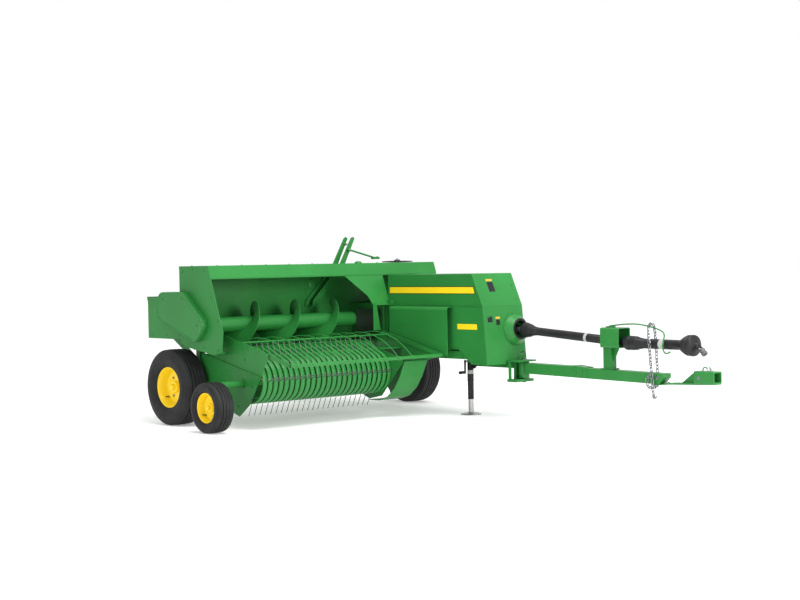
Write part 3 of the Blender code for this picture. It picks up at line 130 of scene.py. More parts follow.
# ------------------------------------------------------------------ shapes
def smooth_path(points, per=6):
    """A Catmull-Rom curve through the points."""
    points = [Vector(p) for p in points]
    line = [points[0] * 2 - points[1]] + points + [points[-1] * 2 - points[-2]]
    path = []
    for a, b, c, d in zip(line, line[1:], line[2:], line[3:]):
        for i in range(per):
            t = i / per
            path.append(0.5 * (2 * b + (c - a) * t + (2 * a - 5 * b + 4 * c - d) * t * t
                               + (3 * b - a - 3 * c + d) * t ** 3))
    return path + [points[-1]]


def arc(centre, radius, start, stop, steps):
    turns = [radians(start + (stop - start) * i / steps) for i in range(steps + 1)]
    return [(centre[0] + radius * cos(a), centre[1] + radius * sin(a)) for a in turns]


def rounded(corners, radius, steps=6):
    """The outline with each corner rounded."""
    outline = []
    for before, corner, after in zip(corners[-1:] + corners, corners, corners[1:] + corners[:1]):
        corner = Vector(corner)
        one, two = (Vector(before) - corner).normalized(), (Vector(after) - corner).normalized()
        reach = radius / sqrt(max((1 - one.dot(two)) / (1 + one.dot(two)), 1e-6))
        reach = min(reach, (Vector(before) - corner).length * 0.49, (Vector(after) - corner).length * 0.49)
        a, b = corner + one * reach, corner + two * reach
        for i in range(steps + 1):
            t = i / steps
            outline.append(tuple(a * (1 - t) ** 2 + corner * 2 * t * (1 - t) + b * t * t))
    return outline


def standing(x, outline):
    """An outline stood square to the machine at a station."""
    return [(x, a, b) for a, b in outline]


def across(direction):
    """Two unit vectors square to a direction."""
    direction = Vector(direction).normalized()
    side = direction.cross(Vector((0, 0, 1)) if abs(direction.z) < 0.9 else Vector((1, 0, 0))).normalized()
    return side, direction.cross(side)


class Piece:
    """One object built from closed shapes, each with its own material."""

    def __init__(self, name, body):
        self.name, self.body, self.mesh, self.materials = name, body, bmesh.new(), []

    def loft(self, rings, paint, closed=False):
        """A skin over rings of points, capped at both ends unless it closes on itself."""
        if paint not in self.materials:
            self.materials.append(paint)
        rows = [[self.mesh.verts.new(DATUM + Vector(p)) for p in ring] for ring in rings]
        faces = []
        for one, two in zip(rows, rows[1:] + rows[:1] if closed else rows[1:]):
            for i in range(len(one)):
                j = (i + 1) % len(one)
                faces.append(self.mesh.faces.new((one[i], one[j], two[j], two[i])))
        if not closed:
            faces += [self.mesh.faces.new(rows[0][::-1]), self.mesh.faces.new(rows[-1])]
        for face in faces:
            face.material_index = self.materials.index(paint)
        return self

    def lathe(self, profile, origin, direction, paint, steps=64):
        """The profile, as radius and height pairs, turned about an axis."""
        side, up = across(direction)
        direction, origin = Vector(direction).normalized(), Vector(origin)
        rings = []
        for k in range(steps):
            out = side * cos(2 * pi * k / steps) + up * sin(2 * pi * k / steps)
            rings.append([origin + out * r + direction * h for r, h in profile])
        return self.loft(rings, paint, closed=True)

    def rod(self, start, end, radius, paint, steps=32):
        start, end = Vector(start), Vector(end)
        length, edge = (end - start).length, min(radius * 0.15, 0.002)
        return self.lathe([(0, 0), (radius - edge, 0), (radius, edge), (radius, length - edge),
                           (radius - edge, length), (0, length)], start, end - start, paint, steps)

    def tube(self, path, radius, paint, sides=12, closed=False):
        """A round bar along a path."""
        path = [Vector(p) for p in path]
        count, side, rings = len(path), None, []
        for i, point in enumerate(path):
            ahead = path[(i + 1) % count] if closed or i + 1 < count else point
            behind = path[i - 1] if closed or i else point
            along = (ahead - behind).normalized()
            side = across(along)[0] if side is None else (side - along * side.dot(along)).normalized()
            up = along.cross(side)
            rings.append([point + (side * cos(2 * pi * k / sides) + up * sin(2 * pi * k / sides)) * radius
                          for k in range(sides)])
        return self.loft(rings, paint, closed)

    def prism(self, outline, axis, low, high, paint):
        """An outline in the plane square to an axis, given thickness along it."""
        spread = {"x": lambda a, b, c: (c, a, b), "y": lambda a, b, c: (a, c, b), "z": lambda a, b,
                c: (a, b, c)}[axis]
        return self.loft([[spread(a, b, level) for a, b in outline] for level in (low, high)], paint)

    def box(self, low, high, paint):
        (x0, y0, z0), (x1, y1, z1) = low, high
        return self.prism([(x0, y0), (x1, y0), (x1, y1), (x0, y1)], "z", z0, z1, paint)

    def bolt(self, point, direction, paint=ZINC, size=0.009):
        """A hexagon head on its washer."""
        self.lathe([(0, 0), (size * 1.7, 0), (size * 1.7, size * 0.22), (0, size * 0.22)], point, direction,
                paint, 20)
        self.lathe([(0, size * 0.2), (size, size * 0.2), (size, size * 0.8), (size * 0.85, size), (0, size)],
                   point, direction, paint, 6)
        return self

    def done(self, bevel=0.0015, replaces=(), slot=None):
        bmesh.ops.remove_doubles(self.mesh, verts=self.mesh.verts, dist=1e-6)
        bmesh.ops.recalc_face_normals(self.mesh, faces=self.mesh.faces)
        data = bpy.data.meshes.new(self.name)
        self.mesh.to_mesh(data)
        self.mesh.free()
        for paint in self.materials:
            data.materials.append(paint)
        data.shade_smooth()
        data.set_sharp_from_angle(angle=radians(38))
        piece = bpy.data.objects.new(self.name, data)
        bpy.context.scene.collection.objects.link(piece)
        if bevel:
            edges = piece.modifiers.new("edges", "BEVEL")
            edges.width, edges.segments = bevel, 2
            edges.limit_method, edges.angle_limit = "ANGLE", radians(40)
        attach(piece, self.body)
        if replaces:
            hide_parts(*replaces)
        return piece


# ------------------------------------------------------------------ wheels
def tyre(name, node, body, centre, out, radius, width, rim, ribs):
    """Ribbed implement tyre: beads, bulging walls with moulded rings, and grooves round the tread."""
    half, wall = width / 2, radius - rim
    side = [(rim + 0.001, half * 0.70), (rim + 0.004, half * 0.80), (rim + wall * 0.10, half * 0.86),
            (rim + wall * 0.13, half * 0.90), (rim + wall * 0.17, half * 0.91),
            (rim + wall * 0.20, half * 0.93), (rim + wall * 0.40, half * 0.985),
            (rim + wall * 0.50, half * 0.99), (rim + wall * 0.53, half * 0.998),
            (rim + wall * 0.56, half * 0.99), (rim + wall * 0.72, half * 0.965),
            (rim + wall * 0.84, half * 0.92), (rim + wall * 0.93, half * 0.84), (radius - 0.004, half * 0.76)]
    tread, reach, depth = [], half * 0.72, wall * 0.055
    pitch = reach * 2 / ribs
    for i in range(ribs):
        start = reach - pitch * i
        crown = radius - 0.0006 - 0.004 * (abs(start - pitch / 2) / reach) ** 2
        tread += [(crown, start - pitch * 0.04), (crown, start - pitch * 0.74)]
        if i + 1 < ribs:
            tread += [(crown - depth, start - pitch * 0.80), (crown - depth, start - pitch * 0.98)]
    profile = side + tread + [(r, -h) for r, h in reversed(side)]
    Piece(name, body).lathe(profile, centre, out, RUBBER, 120).done(0.0, [node], "tyre_rubber")


def rim(name, node, body, centre, out, radius, width, bore, lugs):
    """Deep-dished rim with its hub, lug nuts, hub cap and valve."""
    edge = width / 2 * 0.72
    hub = bore * 2.0
    profile = [(bore, edge * 0.40), (hub, edge * 0.40), (hub * 1.08, edge * 0.34), (hub * 1.12, edge * 0.06),
            (radius * 0.44, 0.002), (radius * 0.58, 0.001), (radius * 0.62, 0.007), (radius * 0.70, 0.008),
            (radius * 0.75, 0.001), (radius * 0.81, 0.004), (radius * 0.845, edge * 0.22),
            (radius * 0.87, edge * 0.62), (radius * 0.895, edge * 0.72), (radius * 0.93, edge * 0.94),
            (radius * 0.955, edge * 1.04), (radius * 0.985, edge * 1.05), (radius, edge * 0.99),
            (radius, -edge * 0.99), (radius * 0.93, -edge * 0.98), (radius * 0.87, -edge * 0.60),
            (radius * 0.80, -0.012), (radius * 0.50, -0.022), (hub * 1.1, -0.022), (hub, -edge * 0.55),
            (bore, -edge * 0.55)]
    piece = Piece(name, body).lathe(profile, centre, out, YELLOW, 96)
    side, up = across(out)
    centre, out = Vector(centre), Vector(out)
    cap = edge * 0.40
    piece.lathe([(0, cap + 0.030), (hub * 0.45, cap + 0.027), (hub * 0.56, cap + 0.018),
            (hub * 0.60, cap + 0.0005), (0, cap + 0.0005)], centre, out, YELLOW, 32)
    for i in range(lugs):
        spoke = side * cos(2 * pi * i / lugs) + up * sin(2 * pi * i / lugs)
        piece.bolt(centre + spoke * radius * 0.50 + out * 0.003, out, STEEL if radius > 0.15 else YELLOW,
                radius * 0.045)
    spoke = side * cos(0.7) + up * sin(0.7)
    foot = centre + spoke * radius * 0.80 + out * 0.006
    piece.tube(smooth_path([foot, foot + out * 0.02 - spoke * 0.002, foot + out * 0.045 - spoke * 0.010], 4),
            0.0045, BLACK, 10)
    piece.done(0.0, [node], "yellow_paint")


def wheels():
    left = WHEEL + Vector((0, 2.90, 0))
    for side, centre, out in (("right", WHEEL, (0, -1, 0)), ("left", left, (0, 1, 0))):
        tyre(f"{side}_tread", f"{side}_wheel_tyre", f"{side}_wheel", centre, out, 0.348, 0.24, 0.187, 5)
        rim(f"{side}_dish", f"{side}_wheel_rim", f"{side}_wheel", centre, out, 0.187, 0.24, 0.0248, 6)
    gauge = (0.68, -0.20, 0.222)
    tyre("gauge_tread", "gauge_wheel_tyre", "gauge_wheel", gauge, (0, -1, 0), 0.222, 0.18, 0.1325, 4)
    rim("gauge_dish", "gauge_wheel_rim", "gauge_wheel", gauge, (0, -1, 0), 0.1325, 0.18, 0.0176, 4)


# ------------------------------------------------------------------ pickup
REEL = (0.75, 0.43)
BAND_FIRST, PITCH, TINES = 0.176, 0.060, 24
SHIELD_RIGHT, SHIELD_LEFT = 0.150, 1.642
FLARE = 1.930


def pickup_bands():
    """Crowned stripper bands bent round the reel, on the pickup's rear wall."""
    piece = Piece("stripper_bands", "pickup")
    low, high = REEL[1] - 0.20, REEL[1] + 0.20
    path = [Vector((0.399, low + 0.012)), Vector((0.55, low + 0.006))]
    ramp = [(0.66, high + 0.058), (0.62, high + 0.074), (0.58, high + 0.086), (0.54, high + 0.091),
            (0.50, high + 0.092), (0.46, high + 0.086), (0.43, high + 0.073), (0.399, high + 0.024)]
    path += [Vector(p) for p in arc(REEL, 0.20, -90, 66, 26) + ramp]
    section = [(-0.5, 0.0), (-0.47, 0.0035), (-0.30, 0.0070), (0.0, 0.0085), (0.30, 0.0070), (0.47, 0.0035),
            (0.5, 0.0), (0.40, 0.0005), (0.0, 0.0045), (-0.40, 0.0005)]
    for row in range(TINES + 1):
        y, rings = BAND_FIRST + PITCH * row, []
        for i, point in enumerate(path):
            along = (path[min(i + 1, len(path) - 1)] - path[max(i - 1, 0)]).normalized()
            out = Vector((along.y, -along.x))
            rings.append([(point.x + out.x * (rise - 0.006), y + wide * 0.044,
                    point.y + out.y * (rise - 0.006)) for wide, rise in section])
        piece.loft(rings, PAINT)
    piece.box((0.393, SHIELD_RIGHT + 0.001, low + 0.004), (0.3985, SHIELD_LEFT - 0.001, high + 0.036), PAINT)
    piece.rod((0.43, SHIELD_RIGHT + 0.001, 0.668), (0.43, SHIELD_LEFT - 0.001, 0.668), 0.016, PAINT)
    piece.done(0.0, ["pickup_bands"], "green_paint")


def pickup_reel():
    """Spring tines coiled round four bars, carried by plate spiders on the shaft."""
    piece = Piece("tine_reel", "reel")
    x, z = REEL
    right, left = SHIELD_RIGHT + 0.001, SHIELD_LEFT - 0.001
    piece.rod((x, right, z), (x, left, z), 0.022, STEEL)
    spider = []
    for k in range(48):
        angle = 2 * pi * k / 48
        reach = 0.055 + 0.121 * max(cos(2 * angle) ** 2, 0) ** 2
        spider.append((x + reach * cos(angle), z + reach * sin(angle)))
    for y in (right + 0.012, (right + left) / 2, left - 0.012):
        piece.prism(spider, "y", y - 0.004, y + 0.004, PAINT)
    for quarter in range(4):
        angle = radians(-95 + 90 * quarter)
        hub = Vector((x + 0.150 * cos(angle), 0, z + 0.150 * sin(angle)))
        angle += radians(22 if quarter else -22)
        away, side = Vector((cos(angle), 0, sin(angle))), Vector((-sin(angle), 0, cos(angle)))
        piece.rod(hub + Vector((0, right + 0.005, 0)), hub + Vector((0, left - 0.005, 0)), 0.011, PAINT, 16)
        for row in range(TINES):
            y = Vector((0, BAND_FIRST + PITCH * (row + 0.5), 0))
            coil = [hub + y + Vector((0, 0.008 - 0.016 * i / 16, 0)) + away * 0.0165 * sin(2 * pi * i / 12)
                    - side * 0.0165 * cos(2 * pi * i / 12) for i in range(17)]
            tail = [coil[-1] + away * 0.004, hub + y + away * 0.06 - side * 0.002,
                    hub + y + away * 0.125 + side * 0.001, hub + y + away * 0.186 + side * 0.001]
            piece.tube(coil[:-1] + smooth_path(tail, 4), 0.0033, TINE_STEEL, 6)
    piece.done(0.0, ["pickup_reel"], "bare_steel")


def pickup_trim():
    """Bolts, ridges and the gauge arm's hub on the pickup's end plates."""
    piece = Piece("pickup_trim", "pickup")
    face = SHIELD_RIGHT - 0.006
    for x, z in ((0.20, 0.60), (0.38, 0.60), (0.36, 0.29), (0.58, 0.20), (0.80, 0.38), (0.70, 0.62)):
        piece.bolt((x, face, z), (0, -1, 0), PAINT, 0.008)
    for x in (0.74, 0.90):
        piece.bolt((x, face, 0.735 - (x - 0.60) * 0.13), (0, -1, 0), PAINT, 0.007)
    piece.lathe([(0, 0), (0.019, 0), (0.019, 0.008), (0.014, 0.010), (0, 0.010)], (0.655, -0.0985, 0.405),
            (0, -1, 0), PAINT, 40)
    piece.lathe([(0.031, 0), (0.045, 0), (0.045, 0.008), (0.031, 0.008)], (0.655, 0.1435, 0.405), (0, -1, 0),
            PAINT, 40)
    plate = rounded([(0.97, 0.598), (0.94, 0.552), (1.31, 0.580), (1.31, 0.597)], 0.008)
    piece.prism(plate, "y", FLARE, FLARE + 0.005, PAINT)
    piece.prism(plate, "y", FLARE - 0.0115, FLARE - 0.0065, PAINT)
    for x in (1.00, 1.10, 1.20, 1.28):
        piece.bolt((x, FLARE + 0.005, 0.582), (0, 1, 0), PAINT, 0.006)
        piece.bolt((x, FLARE - 0.0115, 0.582), (0, -1, 0), PAINT, 0.006)
    piece.done(0.001, (), "green_paint")


def windguard():
    """Round cross bar on flat arms, with long spring rods arching back over the pickup."""
    piece = Piece("guard_rods", "guard")
    right, left = SHIELD_RIGHT + 0.006, FLARE - 0.012
    bar, pivot = Vector((1.335, 0, 0.585)), Vector((0.60, 0, 0.762))
    piece.rod(bar + Vector((0, right, 0)), bar + Vector((0, left, 0)), 0.015, PAINT, 40)
    along = (bar - pivot).normalized()
    up = Vector((-along.z, 0, along.x)) * 0.019
    corners = [pivot - up - along * 0.02, bar - up + along * 0.02, bar + up + along * 0.02,
            pivot + up - along * 0.02]
    outline = rounded([(c.x, c.z) for c in corners], 0.012)
    for y in (right, left - 0.008):
        piece.prism(outline, "y", y, y + 0.008, PAINT)
    for y, out in ((right, -0.0045), (left, 0.0045)):
        piece.bolt(bar + Vector((0, y, 0)), (0, out, 0), PAINT, 0.005)
    piece.rod(pivot + Vector((0, SHIELD_RIGHT + 0.0005, 0)), pivot + Vector((0, FLARE - 0.0065, 0)), 0.009,
            PAINT, 24)
    spacing = (SHIELD_LEFT - SHIELD_RIGHT) / 9
    for i in range(9):
        y = SHIELD_RIGHT + spacing * (i + 0.5)
        path = [(x, y, z) for x, z in ((1.333, 0.590), (1.24, 0.665), (1.10, 0.745), (0.92, 0.798),
                (0.75, 0.808), (0.60, 0.785), (0.54, 0.768))]
        piece.tube(smooth_path(path, 8), 0.0042, PAINT, 10)
        piece.rod((1.335, y - 0.014, 0.585), (1.335, y + 0.014, 0.585), 0.0185, PAINT, 32)
    piece.done(0.001, ["windguard"], "green_paint")


# ------------------------------------------------------------------ auger house
def auger():
    """Tube with a smooth thin flight that wraps round it."""
    piece = Piece("auger_flighting", "cross_auger")
    x, z = 0.21, 0.913
    piece.rod((x, 0.0065, z), (x, 1.785, z), 0.070, PAINT, 64)
    first, last, pitch, turns_per = 0.25, 1.60, 0.465, 56
    count = int((last - first) / pitch * turns_per)
    section = [(0.066, -0.004), (0.19, -0.0032), (0.205, -0.0028), (0.207, 0), (0.205, 0.0028),
            (0.19, 0.0032), (0.066, 0.004)]
    rings = []
    for i in range(count + 1):
        angle = radians(163.5) + 2 * pi * i / turns_per
        y = first + (last - first) * i / count
        rings.append([(x + r * cos(angle), y + thick, z + r * sin(angle)) for r, thick in section])
    piece.loft(rings, PAINT)
    piece.lathe([(0.030, 0), (0.052, 0), (0.052, 0.012), (0.030, 0.012)], (x, 1.785, z), (0, 1, 0), PAINT, 40)
    piece.done(0.001, ["auger"], "green_paint")


def house_trim():
    """Folds, seams, rivets and brackets on the auger house."""
    piece = Piece("house_trim", "base")
    for x, z in ((-0.04, 1.40), (0.12, 1.42), (0.30, 1.41), (0.41, 1.17), (0.50, 0.96), (-0.05, 1.10),
            (0.28, 0.72), (0.50, 0.70)):
        piece.bolt((x, 0, z), (0, -1, 0), PAINT, 0.0065)
    for i in range(10):
        piece.bolt((-0.060, 0.12 + 0.28 * i, 1.451), (0, 0, 1), PAINT, 0.006)
    piece.prism([(-0.0905, 1.43), (-0.0955, 1.43), (-0.0955, 1.451), (-0.0905, 1.451)], "y", 0.002, 2.746,
            PAINT)
    band = [(0.3985, 1.330), (0.4045, 1.330), (0.4045, 1.343), (0.3985, 1.343)]
    piece.prism(band, "y", 0.007, 2.740, PAINT)
    end = [(0.357, 1.445), (0.574, 0.862), (0.553, 0.690), (0.559, 0.690), (0.580, 0.862), (0.362, 1.448)]
    piece.prism(end, "y", -0.0025, 0.0002, PAINT)
    piece.lathe([(0, 0.020), (0.022, 0.018), (0.034, 0.010), (0.038, 0), (0, 0)], (0.045, 2.02, 1.4513),
            (0, 0, 1), PAINT, 40)
    for y in (0.55, 1.10, 1.65):
        piece.prism(rounded([(y - 0.20, 1.16), (y + 0.20, 1.16), (y + 0.20, 1.30), (y - 0.20, 1.30)], 0.04),
                "x", -0.0838, -0.0815, PAINT)
    piece.lathe([(0, 0.004), (0.050, 0.004), (0.056, 0.0), (0, 0.0)], (-0.0838, 1.55, 1.25), (1, 0, 0), PAINT,
            48)
    for i in range(5):
        piece.bolt((-0.084, 0.20 + 0.35 * i, 0.80), (1, 0, 0), PAINT, 0.006)
    piece.rod((0.452, 1.990, 0.785), (0.452, 1.990, 1.058), 0.0055, PAINT, 16)
    piece.tube(smooth_path([(0.455, 1.990, 1.040), (0.475, 1.985, 1.070), (0.480, 1.950, 1.075),
            (0.478, 1.900, 1.060)], 6), 0.0060, PAINT, 12)
    piece.prism(rounded([(0.473, 1.022), (0.705, 1.022), (0.705, 1.050), (0.560, 1.087), (0.473, 1.087)],
            0.008), "y", 2.0235, 2.0285, PAINT)
    piece.prism(rounded([(0.473, 1.035), (0.560, 1.035), (0.560, 1.087), (0.473, 1.087)], 0.006), "y", 1.995,
            2.0235, PAINT)
    for x in (0.60, 0.67):
        piece.bolt((x, 2.0235, 1.040), (0, -1, 0), PAINT, 0.005)
    piece.done(0.0012, (), "green_paint")


def drive_shield():
    """Rounded drive cover with a rolled rim round its face."""
    corners = [(-0.455, 0.993), (-0.349, 1.217), (0.030, 1.221), (0.390, 0.925), (0.230, 0.760)][::-1]
    piece = Piece("drive_cover", "base")
    outline = rounded(corners, 0.100, 12)
    middle = Vector((sum(c[0] for c in corners) / 5, sum(c[1] for c in corners) / 5))
    rings = []
    for scale, y in ((1.0, -0.0005), (1.0, -0.050), (0.992, -0.058), (0.975, -0.0615), (0.955, -0.0615),
            (0.940, -0.058), (0.930, -0.055), (0.80, -0.0545), (0.5, -0.0545), (0.1, -0.0545)):
        rings.append([(middle.x + (a - middle.x) * scale, y, middle.y + (b - middle.y) * scale) for a,
                b in outline])
    piece.loft(rings, PAINT)
    for x, z in ((-0.30, 1.15), (0.02, 1.16), (0.25, 0.92), (-0.36, 0.99)):
        piece.bolt((x, -0.0545, z), (0, -1, 0), PAINT, 0.006)
    piece.done(0.0, ["drive_shield"], "green_paint")


def feeder():
    """Feeder arms in heavy plate, their link to the crank, and the crank's disc."""
    pivot_y, pivot_z, half = 1.83, 1.405, 0.023
    piece = Piece("feeder_plates", "feeder")
    for i, x in enumerate((-0.072, -0.012)):
        y = pivot_y + (i - 0.5) * 0.040
        top, tip = (y + 0.150, 1.714), (y - 0.375, 1.04)
        outline = [(top[0] - half, top[1] - 0.015), (top[0], top[1]), (top[0] + half, top[1] - 0.015),
                (y + half * 1.15, pivot_z + 0.01), (tip[0] + 0.07, tip[1] + 0.035), tip,
                (tip[0] + 0.01, tip[1] + 0.06), (y - half * 1.15, pivot_z + 0.03)]
        piece.prism(outline, "x", x - 0.006, x + 0.006, PAINT)
        for share in (0.45, 0.62, 0.79, 0.95):
            spot = (x + 0.006, y + 0.150 * share, pivot_z + 0.309 * share)
            piece.lathe([(0, 0), (0.007, 0), (0.007, 0.0012), (0, 0.0012)], spot, (1, 0, 0), CAST, 16)
        for share in (0.25, 0.60):
            piece.bolt((x + 0.006, y - 0.34 * share, pivot_z - 0.33 * share), (1, 0, 0), PAINT, 0.007)
    piece.rod((-0.0834, pivot_y, pivot_z), (0.0595, pivot_y, pivot_z), 0.018, STEEL)
    piece.rod((-0.072, pivot_y + 0.112, 1.639), (-0.012, pivot_y + 0.112, 1.639), 0.010, STEEL)
    piece.rod((-0.018, pivot_y + 0.105, 1.585), (0.028, pivot_y + 0.105, 1.585), 0.008, STEEL)
    piece.done(0.0012, ["feeder_arms"], "green_paint")

    start = Vector((0.012, 1.935, 1.585))
    end = start + Vector((0, 0.34, -0.085))
    along = (end - start).normalized()
    piece = Piece("feeder_drag_link", "link")
    piece.tube([start + along * 0.019, end - along * 0.02], 0.009, PAINT, 20)
    piece.lathe([(0.0087, 0.008), (0.020, 0.008), (0.020, -0.008), (0.0087, -0.008)], start, (1, 0, 0), PAINT,
            40)
    piece.prism(rounded([(end.y - 0.045, end.z - 0.012), (end.y + 0.045, end.z - 0.012),
            (end.y + 0.045, end.z + 0.012), (end.y - 0.045, end.z + 0.012)], 0.008), "x", end.x - 0.016,
            end.x + 0.016, PAINT)
    piece.bolt((end.x, end.y + 0.025, end.z + 0.012), (0, 0, 1), ZINC, 0.006)
    piece.done(0.001, ["feeder_link"], "green_paint")

    piece = Piece("crank_disc", "crank")
    profile = [(0, 0.028), (0.026, 0.028), (0.030, 0.026), (0.030, 0.019), (0.150, 0.015), (0.155, 0.012),
            (0.155, 0.006), (0.150, 0.004), (0.040, 0.0008), (0, 0.0008)]
    piece.lathe(profile, (0.10, 2.49, 1.451), (0, 0, 1), BLACK, 72)
    piece.bolt((0.10, 2.49, 1.479), (0, 0, 1), ZINC, 0.012)
    piece.done(0.0, ["feeder_crank"], "black_parts")


# ------------------------------------------------------------------ plunger case
CASE_RIGHT, CASE_LEFT = 2.03, 2.55
LEAN = atan2(1.822 - 1.772, 1.034 - 0.50)


def on_nose(z):
    """How far ahead the lower case's front face is at a height."""
    return 1.772 + (1.034 - z) / (1.034 - 0.50) * 0.050


def on_cowl(z):
    return 1.635 + (1.333 - z) / (1.333 - 1.034) * 0.137


def cowl_trim():
    """The stripe, edge folds and blank plates on the hood."""
    piece = Piece("cowl_stripe", "cowl")
    for side, skin in ((-1, CASE_RIGHT), (1, CASE_LEFT)):
        for outline, depth, paint in (([(0.503, 1.148), (1.684, 1.148), (1.660, 1.218), (0.503, 1.218)],
                0.0006, BLACK), ([(0.505, 1.154), (1.674, 1.154), (1.654, 1.212), (0.505, 1.212)], 0.0011,
                YELLOW)):
            piece.prism(outline, "y", *sorted((skin, skin + side * depth)), paint)
    piece.done(0.0, (), "yellow_paint")

    piece = Piece("cowl_trim", "cowl")
    for y in (CASE_RIGHT, CASE_LEFT):
        out = -1 if y == CASE_RIGHT else 1
        edge = [(0.484, 1.036), (1.768, 1.036), (1.766, 1.046), (0.484, 1.046)]
        piece.prism(edge, "y", *sorted((y, y + out * 0.003)), PAINT)
        for x in (0.60, 1.05, 1.50):
            piece.bolt((x, y + out * 0.003, 1.0415), (0, out, 0), PAINT, 0.0035)
    lean = Vector((0.299, 0, 0.137)).normalized()
    for y, z, wide, tall, paint in ((2.225, 1.210, 0.078, 0.090, BLACK),
            (2.225, 1.272, 0.078, 0.018, ORANGE)):
        depth = 0.0006
        rings = []
        for rise in (0.0001, depth):
            rings.append([(on_cowl(z + b) + lean.x * rise, y + a, z + b + lean.z * rise) for a,
                    b in ((-wide / 2, -tall / 2), (wide / 2, -tall / 2), (wide / 2, tall / 2),
                    (-wide / 2, tall / 2))])
        piece.loft(rings, paint)
    for y, z in ((2.08, 1.22), (2.50, 1.22), (2.29, 1.20), (2.08, 1.09), (2.50, 1.09)):
        piece.bolt((on_cowl(z), y, z), lean, PAINT, 0.006)
    piece.done(0.0008, (), "green_paint")


def case_trim():
    """Fold lines, blank plates and bolts on the lower case, and the ring behind the dished guard."""
    piece = Piece("case_trim", "base")
    for x, z in ((0.56, 0.67), (0.56, 0.98), (1.45, 0.98), (1.60, 0.60), (1.70, 0.55), (1.50, 0.67)):
        piece.bolt((x, CASE_RIGHT, z), (0, -1, 0), PAINT, 0.006)
        piece.bolt((x, CASE_LEFT, z), (0, 1, 0), PAINT, 0.006)
    for side, skin in ((-1, CASE_RIGHT), (1, CASE_LEFT)):
        piece.prism([(0.49, 0.640), (1.452, 0.640), (1.620, 0.508), (1.812, 0.508), (1.812, 0.516),
                (1.626, 0.516), (1.456, 0.648), (0.49, 0.648)], "y", *sorted((skin, skin + side * 0.004)),
                PAINT)
        piece.prism([(1.440, 0.822), (1.700, 0.822), (1.697, 0.872), (1.440, 0.872)], "y",
                *sorted((skin, skin + side * 0.0008)), YELLOW)
    face = Vector((cos(LEAN), 0, sin(LEAN)))
    for y, z in ((2.10, 0.94), (2.10, 0.62), (2.50, 0.60), (2.30, 0.54), (2.10, 0.80)):
        piece.bolt((on_nose(z), y, z), face, PAINT, 0.006)
    for y, z, wide, tall, paint in ((2.115, 0.915, 0.062, 0.052, BLACK), (2.215, 0.885, 0.048, 0.050, BLACK),
                                    (2.215, 0.926, 0.055, 0.018, ORANGE)):
        rings = [[(on_nose(z + b) + face.x * rise, y + a, z + b + face.z * rise) for a,
                b in ((-wide / 2, -tall / 2), (wide / 2, -tall / 2), (wide / 2, tall / 2),
                (-wide / 2, tall / 2))] for rise in (0.0002, 0.001)]
        piece.loft(rings, paint)
    piece.done(0.0008, (), "green_paint")

    piece = Piece("dish_guard", "base")
    seat = Vector((on_nose(0.811), SHAFT_Y, 0.811)) + face * 0.0005
    profile = [(0.080, 0.075), (0.096, 0.075), (0.100, 0.072), (0.104, 0.062), (0.112, 0.052), (0.128, 0.040),
            (0.138, 0.024), (0.146, 0.008), (0.148, 0.003), (0.148, 0), (0.140, 0), (0.120, 0.034),
            (0.096, 0.056), (0.080, 0.060)]
    piece.lathe(profile, seat, face, PAINT, 96)
    piece.lathe([(0.0775, 0.078), (0.096, 0.078), (0.099, 0.075), (0.080, 0.074), (0.0785, 0.055),
            (0.0765, 0.055)], seat, face, BLACK, 96)
    for k in range(6):
        angle = 2 * pi * k / 6 + 0.3
        side, up = across(face)
        piece.bolt(seat + (side * cos(angle) + up * sin(angle)) * 0.1405 + face * 0.012, face, PAINT, 0.0045)
    piece.done(0.0, ["driveline_dish"], "green_paint")


# ------------------------------------------------------------------ driveline and tongue
REAR, JOINT, FRONT = Vector((1.90, SHAFT_Y, 0.811)), Vector((3.150, SHAFT_Y, 0.7225)), Vector((3.946, SHAFT_Y,
        0.717))


